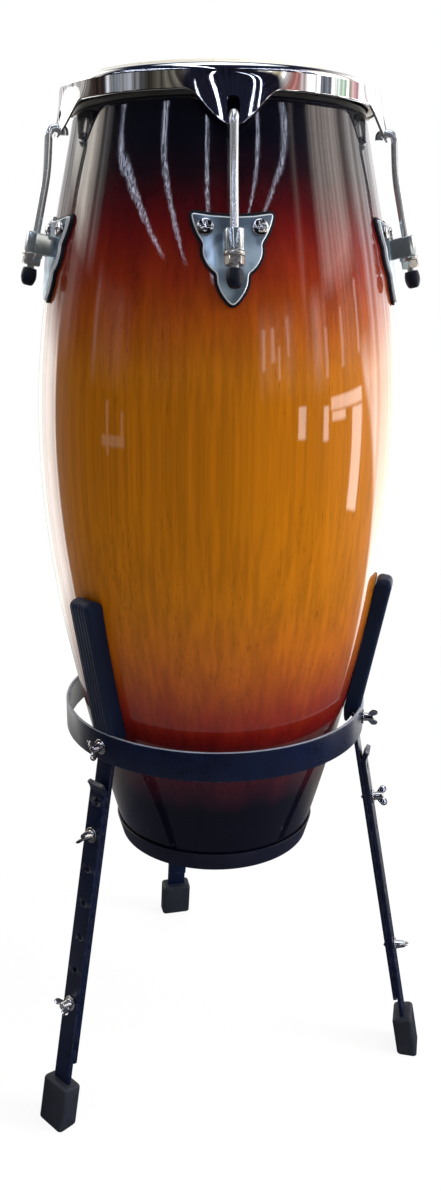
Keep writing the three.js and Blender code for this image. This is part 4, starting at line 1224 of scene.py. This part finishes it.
def arm_sleeve(n, angle):
    """The rubber pad on an arm: its section carried up the arm and drawn in to a rounded top.

    Its inner side is moved out to the shell's curve, and its foot hangs down there in a half sine.
    """
    heights = np.linspace(ring_top, arm_top, 60)
    middle = arm_low[0] + (heights - ring_top) * arm_along[0] / arm_along[1]
    pad = np.min((middle - shell_curve(heights)) * arm_along[1]) - bar_thickness / 2 - running_clearance
    inner, outer = bar_thickness / 2 + pad, bar_thickness / 2 + sleeve_cover
    length = (sleeve_length - clearance) / arm_along[1]
    section = sleeve_section(inner, outer)
    centre = np.array([(outer - inner) / 2, 0])
    round_off = sleeve_corner * 2
    top_share = round_off / length
    drawn = 1 - top_share * (1 - np.sin(np.linspace(0, np.pi / 2, 12)[1:]))
    s = np.concatenate([np.linspace(0, 1 - top_share, 40), drawn])
    left = np.clip((s - (1 - top_share)) / top_share, 0, 1)
    shrink = round_off * 0.75 * (1 - np.sqrt(1 - left**2 * 0.98))
    half = np.array([(outer + inner) / 2, sleeve_width / 2])
    sections = centre + (section - centre) * (1 - shrink[:, None, None] / half)
    path = arm_low + (s * length)[:, None] * arm_along
    grid = swept(path, sections)
    inward = np.clip((bar_thickness / 2 - sections[..., 0]) / (bar_thickness / 2 + inner), 0, 1) ** 1.5
    flat = path[:, None, 0] - inner / arm_along[1]
    near = np.sqrt((shell_curve(grid[..., 2]) + clearance) ** 2 - grid[..., 1] ** 2)
    grid[..., 0] += inward * (near - flat)
    slope = arm_along[0] / arm_along[1]
    level = ring_top + clearance
    keep = np.concatenate([[True], grid[1:, :, 2].min(1) > level + sleeve_least_rise])
    level = level - sleeve_tongue * np.sin(np.pi * inward[0])
    grid[0, :, 0] += (level - grid[0, :, 2]) * slope
    grid[0, :, 2] = level
    rows = in_row(closed_ends(grid[keep]), angle)
    thing = mesh_object("sleeve_" + n, [(rows, False, True, 0)], sharp_angle=40)
    return dress(thing, "stand", "sleeve_black", [sleeve_rubber], "arm_sleeve_" + n)


def foot(n, angle):
    """The rubber foot: a rounded rectangle carried down the leg, round at its top and level below."""
    top = lower_top + leg_down * foot_start
    section = resample(rounded_rectangle(foot_depth, foot_width, foot_corner * 1.2, 8), 120, True)
    a = np.linspace(0, np.pi / 2, 8)
    drawn = foot_corner * (1 - np.sin(a))
    straight = np.linspace(foot_corner, foot_height * 0.8, 12)[1:]
    along = np.concatenate([foot_corner * (1 - np.cos(a)), straight])
    inset = np.concatenate([drawn, 0 * straight])
    half = np.array([foot_depth, foot_width]) / 2
    sections = section * (1 - inset[:, None, None] / half)
    grid = swept(top + along[:, None] * leg_down, sections * [-1, 1])
    drop = grid[-1:, :, 2] / -leg_down[1]
    down = np.array([leg_down[0], 0, leg_down[1]])
    sole = grid[-1:] + drop[..., None] * down
    near = grid[-1:] + (drop[..., None] - foot_edge) * down
    middle = sole.mean(1, keepdims=True)
    sole = middle + (sole - middle) * 0.96
    rows = in_row(closed_ends(np.concatenate([grid, near, sole])), angle)
    thing = mesh_object("foot_rubber_" + n, [(rows, False, True, 0)], sharp_angle=40)
    return dress(thing, "leg_" + n, "foot_black", [foot_rubber], "foot_" + n)


def wing_rows(side):
    """One wing: an outline drawn in to its middle, thick there and thin at its edge."""
    half, top = wing_span / 2, screw_washer_height + wing_height
    lobe = half * 0.37
    a = np.radians(np.linspace(-60, 170, 14))
    tip = np.stack([half - lobe + lobe * np.cos(a), top - lobe + lobe * np.sin(a)], -1)
    root_x = screw_hub_radius * 0.2
    root = [(root_x, screw_washer_height + screw_hub_height * 0.86), (root_x, screw_washer_height * 1.4)]
    outline = resample(fillet(np.concatenate([tip, root]), wing_corner, 4), 60, True)
    middle = np.array([half * 0.52, top * 0.58])
    share = np.concatenate([np.linspace(0, 1, 9), np.linspace(1, 0, 9)])[:, None]
    face = np.repeat([1.0, -1.0], 9)[:, None]
    across = middle + (outline - middle) * share[..., None]
    thick = face * (wing_thickness / 2 * np.sqrt(np.maximum(1 - share**6, 0)))
    return np.stack([side * across[..., 0], np.broadcast_to(thick, across.shape[:2]), across[..., 1]], -1)


def wing_screw(grip):
    """A wing screw along z: a turned washer and hub, two wings, and a shank cut by a cosine helix."""
    hub_top = screw_washer_height + screw_hub_height
    body = fillet(
        [(0, clearance), (screw_washer_radius, clearance), (screw_washer_radius, screw_washer_height),
         (screw_hub_radius * 1.05, screw_washer_height), (screw_hub_radius * 0.8, hub_top), (0, hub_top)],
        screw_corner_radii, 5, closed=False,
    )
    z = np.linspace(-grip, clearance, 150)
    a = np.linspace(0, 2 * np.pi, 24, endpoint=False)[:, None]
    taper = np.clip((z + grip) / screw_point, 0.3, 1)[None, :]
    wave = 0.5 + 0.5 * np.cos(2 * np.pi * z[None, :] / screw_thread_pitch - a)
    radius = (screw_radius - screw_thread_depth * wave) * taper
    shank = np.stack([radius * np.cos(a), radius * np.sin(a), np.broadcast_to(z, radius.shape)], -1)
    shank = closed_ends(shank.transpose(1, 0, 2))
    wings = [(wing_rows(side), False, True) for side in (1, -1)]
    return [(revolved(body, 48), True, False), (shank, False, True), *wings]


def placed_screw(name, grip, point, direction, turn, angle, body, node):
    """A wing screw with its washer on a face, at a point of a station's middle plane."""
    origin = np.array([point[0], 0, point[1]])
    out = np.array([direction[0], 0, direction[1]])
    surfaces = [
        (in_row(set_on(grid, origin, out, turn), angle), rows, columns, 0)
        for grid, rows, columns in wing_screw(grip)
    ]
    thing = mesh_object(name, surfaces, sharp_angle=40)
    return dress(thing, body, "wing_zinc", [bright_zinc], node)


def wing_screws(n, angle):
    """The ring's screw and the two that clamp the lower leg."""
    facet = math.cos(math.pi / 40)
    face = np.array([ring_outer * facet + clearance, ring_middle])
    grip = face[0] - (arm_low[0] - bar_thickness / 2) + screw_end
    placed_screw(
        "ring_screw_piece_" + n, grip, face, (1, 0), wing_turns[0], angle,
        "ring_screw_" + n, "ring_wing_screw_" + n,
    )
    grip = 2 * bar_thickness + clearance + screw_end
    for k, which in enumerate(("upper", "lower")):
        at = hole_at(screw_holes[k]) + leg_out * bar_thickness / 2
        placed_screw(
            f"leg_screw_piece_{which}_{n}", grip, at, leg_out, wing_turns[k + 1], angle,
            f"leg_screw_{which}_{n}", f"leg_wing_screw_{which}_{n}",
        )


drum_shell()
bottom_band()
drum_head()
flesh_hoop()
rim()
stand_ring()
for i, angle in enumerate(lug_angles):
    for make in (side_plate, gasket, lug_bolts, tuning_rod, tuning_nut, rod_cap):
        make(str(i + 1), angle)
for i, angle in enumerate(leg_angles):
    for make in (upper_leg, arm_sleeve, lower_leg, foot, wing_screws):
        make(str(i + 1), angle)


# Stage, light and camera


def floor():
    """A pale floor with a soft shadow: pure white to the camera at its rim, and dim to polished pieces."""
    half = 1.9
    grid = np.array([[(-half, -half, 0), (-half, half, 0)], [(half, -half, 0), (half, half, 0)]], float)
    thing = mesh_object("floor", [(grid + [axis_x, axis_y, 0], False, False, 0)])
    made, tree, shader, place = start_material("floor_white", Roughness=0.9, Specular_IOR_Level=0.1)
    shader.inputs["Base Color"].default_value = (0.82, 0.82, 0.82, 1)
    centre = add(tree, "ShaderNodeVectorMath", {0: place, 1: (axis_x, axis_y, 0)}, operation="SUBTRACT")
    far = add(tree, "ShaderNodeVectorMath", {0: centre.outputs[0]}, operation="LENGTH").outputs["Value"]
    light = add(tree, "ShaderNodeLightPath")
    glow = add(tree, "ShaderNodeEmission", {"Color": (1, 1, 1, 1), "Strength": 1.0})
    seen = times(tree, light.outputs["Is Camera Ray"], spread(tree, far, 0.5, 1.5, 0.88, 1.0))
    mix = add(tree, "ShaderNodeMixShader", {0: seen, 1: shader.outputs[0], 2: glow.outputs[0]})
    mirrored = ramp(tree, math_node(tree, "DIVIDE", far, 2.0), [
        (0.0, (0.05, 0.055, 0.09)), (0.2, (0.08, 0.085, 0.12)), (0.26, (0.26, 0.24, 0.23)),
        (0.36, (0.16, 0.15, 0.15)), (0.55, (0.05, 0.05, 0.05)), (0.9, (0.01, 0.01, 0.01)),
    ])
    dim = add(tree, "ShaderNodeEmission", {"Color": mirrored, "Strength": 1.0})
    clear = add(tree, "ShaderNodeBsdfTransparent")
    fade = spread(tree, far, 0.7, 1.6)
    dim = add(tree, "ShaderNodeMixShader", {0: fade, 1: dim.outputs[0], 2: clear.outputs[0]})
    glossy = light.outputs["Is Glossy Ray"]
    last = add(tree, "ShaderNodeMixShader", {0: glossy, 1: mix.outputs[0], 2: dim.outputs[0]})
    tree.links.new(last.outputs[0], tree.nodes["Material Output"].inputs["Surface"])
    thing.data.materials.append(made)


def at_bearing(stops):
    """Ramp stops given by their bearing from the front, in degrees towards +X."""
    return [((bearing + 180) / 360, colour) for bearing, colour in stops]


# Bright panes in the mirrored room, as (bearing, half width, low, high): degrees, and the ray's rise
right_panes = (
    (87, 14, -0.035, -0.012), (53, 3, -0.10, -0.02), (70, 2.5, -0.11, -0.03), (96, 5, -0.27, -0.05),
    (80, 6, -0.062, -0.048),
)
left_panes = ((-67, 9, -0.128, -0.108), (-71, 1.5, -0.15, -0.02), (-60, 1.5, -0.11, -0.04))
high_panes = (
    (28, 1.4, 0.10, 0.2), (34, 1.6, 0.12, 0.2), (38, 1.2, 0.07, 0.15), (44, 1.3, 0.13, 0.22),
    (71, 1.5, 0.05, 0.16), (84, 1.6, 0.06, 0.18), (99, 1.5, 0.07, 0.2),
)
pane_low_edge = 0.01
pane_high_edge = 0.008
pane_side_edge = 1
right_glow = (7.0, 6.6, 6.2, 1)
left_glow = (1.0, 0.95, 0.9, 1)
high_glow = (3.4, 3.1, 3.0, 1)


def wall_colours(tree, turn, height):
    """The walls that polished pieces mirror, for three heights, with upright bars and bright panes."""
    along = add(tree, "ShaderNodeCombineXYZ", {"X": turn, "Y": 0.0, "Z": 0.0}).outputs[0]
    bars = noise(tree, along, 70.0, 3.0, 0.7)
    high = ramp(tree, turn, at_bearing([
        (-180, (1.2, 1.2, 1.2)), (-150, (2.2, 2.2, 2.1)), (-112, (5.0, 4.7, 4.2)), (-103, (2.6, 2.4, 2.2)),
        (-99, (0.02, 0.02, 0.03)), (-96, (1.4, 1.4, 1.4)), (-90, (0.01, 0.01, 0.02)),
        (54, (0.01, 0.01, 0.02)), (57, (1.3, 1.1, 1.0)), (60, (0.01, 0.01, 0.02)),
        (69, (0.02, 0.02, 0.02)), (76, (3.6, 3.2, 2.9)), (100, (3.6, 3.2, 2.9)), (104, (0.5, 0.4, 0.35)),
        (107, (0.6, 0.5, 0.45)),
        (111, (2.3, 2.2, 2.1)), (150, (1.5, 1.5, 1.5)), (180, (1.2, 1.2, 1.2)),
    ]))
    middle = ramp(tree, turn, at_bearing([
        (-180, (0.9, 0.9, 0.92)), (-130, (0.8, 0.79, 0.76)), (-108, (0.45, 0.43, 0.40)),
        (-99, (0.05, 0.035, 0.03)), (-86, (0.03, 0.02, 0.02)), (-83, (0.8, 0.82, 0.85)),
        (-78, (0.2, 0.22, 0.25)), (-68, (0.4, 0.42, 0.45)), (-50, (0.03, 0.025, 0.02)),
        (-34, (0.16, 0.15, 0.12)), (-19, (0.008, 0.012, 0.03)), (23, (0.008, 0.012, 0.03)),
        (27, (0.8, 0.8, 0.76)), (34, (0.75, 0.74, 0.66)), (40, (0.7, 0.62, 0.36)), (46, (0.85, 0.86, 0.85)),
        (51, (0.42, 0.16, 0.13)), (55, (0.5, 0.22, 0.2)), (58, (0.9, 0.76, 0.76)), (63, (1.9, 1.9, 1.9)),
        (70, (1.6, 1.6, 1.6)), (73, (0.2, 0.22, 0.26)), (81, (0.24, 0.27, 0.31)), (86, (1.1, 1.2, 1.1)),
        (98, (0.4, 0.6, 0.4)), (108, (0.9, 0.45, 0.5)), (118, (2.2, 2.2, 2.2)),
        (150, (1.5, 1.5, 1.5)), (180, (1.0, 1.0, 1.0)),
    ]))
    lean = times(tree, height, spread(tree, turn, 0.5, 0.6, 0.0, 0.2))
    low = ramp(tree, plus(tree, turn, lean), at_bearing([
        (-180, (0.5, 0.5, 0.48)), (-166, (0.65, 0.64, 0.6)), (-160, (1.8, 1.8, 1.7)), (-140, (2.8, 2.8, 2.7)),
        (-123, (4.6, 4.6, 4.5)), (-121, (0.16, 0.13, 0.1)), (-100, (0.08, 0.07, 0.06)),
        (-85, (0.01, 0.01, 0.01)), (45, (0.005, 0.005, 0.005)), (60, (0.12, 0.11, 0.1)),
        (102, (0.25, 0.23, 0.2)),
        (106, (4.8, 4.8, 4.8)), (120, (3.6, 3.6, 3.5)), (150, (2.4, 2.4, 2.3)), (161, (1.7, 1.7, 1.6)),
        (167, (0.65, 0.64, 0.6)), (180, (0.5, 0.5, 0.48)),
    ]))
    striped = add(tree, "ShaderNodeCombineColor")
    for socket, (least, most) in enumerate(((0.14, 1.4), (0.1, 1.4), (0.08, 1.45))):
        tree.links.new(spread(tree, bars, 0.41, 0.6, least, most), striped.inputs[socket])
    middle = mixed(tree, 0.75, middle, striped.outputs[0], "MULTIPLY")
    low = mixed(tree, 0.35, low, striped.outputs[0], "MULTIPLY")
    low = mixed(tree, windows(tree, turn, height, right_panes), low, right_glow)
    low = mixed(tree, windows(tree, turn, height, left_panes), low, left_glow)
    high = mixed(tree, 0.5, high, striped.outputs[0], "MULTIPLY")
    walls = mixed(tree, spread(tree, height, 0.0, 0.1), low, middle)
    walls = mixed(tree, windows(tree, turn, height, high_panes), walls, high_glow)
    return mixed(tree, spread(tree, height, 0.21, 0.27), walls, high)


def windows(tree, turn, height, panes):
    """A mask that is one inside the panes and fades out over their edges."""
    total = 0.0
    for bearing, half, low, high in panes:
        off = math_node(tree, "ABSOLUTE", minus(tree, turn, (bearing + 180) / 360))
        pane = spread(tree, off, (half - pane_side_edge) / 360, half / 360, 1.0, 0.0)
        pane = times(tree, pane, spread(tree, height, low - pane_low_edge, low))
        pane = times(tree, pane, spread(tree, height, high, high + pane_high_edge, 1.0, 0.0))
        total = math_node(tree, "MAXIMUM", pane, total)
    return total


lamp_rows = (-2.35, -1.56, -0.39, 1.53, 2.19)


def ceiling_lamps(tree, x, y, z):
    """Rows of small lamps on a dark ceiling behind the camera, as streaks that draw together."""
    across = math_node(tree, "DIVIDE", x, z)
    away = math_node(tree, "DIVIDE", y, z)
    draw = times(tree, away, spread(tree, across, -0.3, 0.3, 0.15, 0.28))
    across = math_node(tree, "DIVIDE", across, plus(tree, draw, 1.0))
    place = add(tree, "ShaderNodeCombineXYZ", {"X": across, "Y": away, "Z": 0.0}).outputs[0]
    wander = times(tree, minus(tree, noise(tree, place, 5.0, 2.0), 0.5), 0.16)
    across = plus(tree, across, wander)
    total = 0.0
    for row in lamp_rows:
        off = math_node(tree, "ABSOLUTE", minus(tree, across, row))
        total = plus(tree, spread(tree, off, 0.025, 0.085, 1.0, 0.0), total)
    speckle = spread(tree, noise(tree, place, 30.0, 4.0, 0.8), 0.46, 0.58)
    total = times(tree, total, speckle)
    sideways = math_node(tree, "ABSOLUTE", across)
    reach = minus(tree, away, times(tree, sideways, 0.42))
    total = times(tree, total, spread(tree, reach, -3.15, -2.85))
    total = times(tree, total, spread(tree, away, -0.4, -0.25, 1.0, 0.0))
    return times(tree, total, spread(tree, z, 0.26, 0.32))


def world():
    """White to the camera, soft light for rough surfaces, and a dark studio for polished ones."""
    made = bpy.data.worlds.new("studio")
    bpy.context.scene.world = made
    made.cycles.sampling_method = "NONE"
    made.use_nodes = True
    tree = made.node_tree
    out = tree.nodes["Background"]
    light = add(tree, "ShaderNodeLightPath")
    way = add(tree, "ShaderNodeTexCoord").outputs["Generated"]
    parts = add(tree, "ShaderNodeSeparateXYZ", {"Vector": way})
    x, y, z = parts.outputs["X"], parts.outputs["Y"], parts.outputs["Z"]
    turn = math_node(tree, "ARCTAN2", x, times(tree, y, -1.0))
    turn = math_node(tree, "DIVIDE", plus(tree, turn, math.pi), 2 * math.pi)
    walls = wall_colours(tree, turn, z)
    ceiling = mixed(tree, spread(tree, z, 0.45, 0.8), walls, (0.012, 0.016, 0.035, 1))
    ceiling = mixed(tree, spread(tree, z, 0.9, 0.97), ceiling, (2.0, 2.1, 2.3, 1))
    glow = {0: (11.0, 11.8, 15.0), "Scale": ceiling_lamps(tree, x, y, z)}
    lamps = add(tree, "ShaderNodeVectorMath", glow, operation="SCALE")
    glossy = mixed(tree, 1.0, ceiling, lamps.outputs[0], "ADD")
    side = mixed(tree, spread(tree, x, -0.8, 0.9), (0.28, 0.28, 0.29, 1), (2.2, 2.18, 2.14, 1))
    soft = mixed(tree, spread(tree, z, -0.5, 0.6), (0.55, 0.55, 0.57, 1), side)
    seen = mixed(tree, light.outputs["Is Glossy Ray"], soft, glossy)
    seen = mixed(tree, light.outputs["Is Camera Ray"], seen, (1, 1, 1, 1))
    tree.links.new(seen, out.inputs["Color"])
    out.inputs["Strength"].default_value = 1.0


def softbox(name, place, aim, size, power):
    """A rectangular lamp that faces a point of the drum's axis."""
    data = bpy.data.lights.new(name, "AREA")
    data.shape, data.size, data.size_y, data.energy = "RECTANGLE", size[0], size[1], power
    thing = bpy.data.objects.new(name, data)
    bpy.context.scene.collection.objects.link(thing)
    thing.visible_glossy = False
    thing.location = Vector(place) + Vector((axis_x, axis_y, 0))
    way = Vector((axis_x, axis_y, aim)) - thing.location
    thing.rotation_euler = way.to_track_quat("-Z", "Y").to_euler()


def camera():
    """The photograph's view: from in front of the upper drum, pitched down and rolled slightly."""
    data = bpy.data.cameras.new("view")
    focal_pixels, frame_height, frame_width = 1059.0, 1191.0, 441.0
    principal_x, principal_y = 215.9, 596.0
    data.sensor_fit, data.sensor_width = "AUTO", 36.0
    data.lens = focal_pixels * data.sensor_width / frame_height
    data.shift_x = (frame_width / 2 - principal_x) / frame_height
    data.shift_y = (principal_y - frame_height / 2) / frame_height
    thing = bpy.data.objects.new("view", data)
    bpy.context.scene.collection.objects.link(thing)
    pitch, roll = math.radians(16.84), math.radians(0.48)
    distance, height = 1.077, 0.855
    turn = Matrix.Rotation(math.pi / 2 - pitch, 4, "X") @ Matrix.Rotation(roll, 4, "Z")
    thing.matrix_world = Matrix.Translation((axis_x, axis_y - distance, height)) @ turn
    bpy.context.scene.camera = thing


floor()
world()
softbox("key", (2.2, -0.5, 1.2), 0.65, (0.9, 1.6), 60)
softbox("fill", (-1.6, -1.6, 1.7), 0.6, (1.0, 1.6), 3)
camera()
bpy.context.scene.view_settings.view_transform = "Standard"
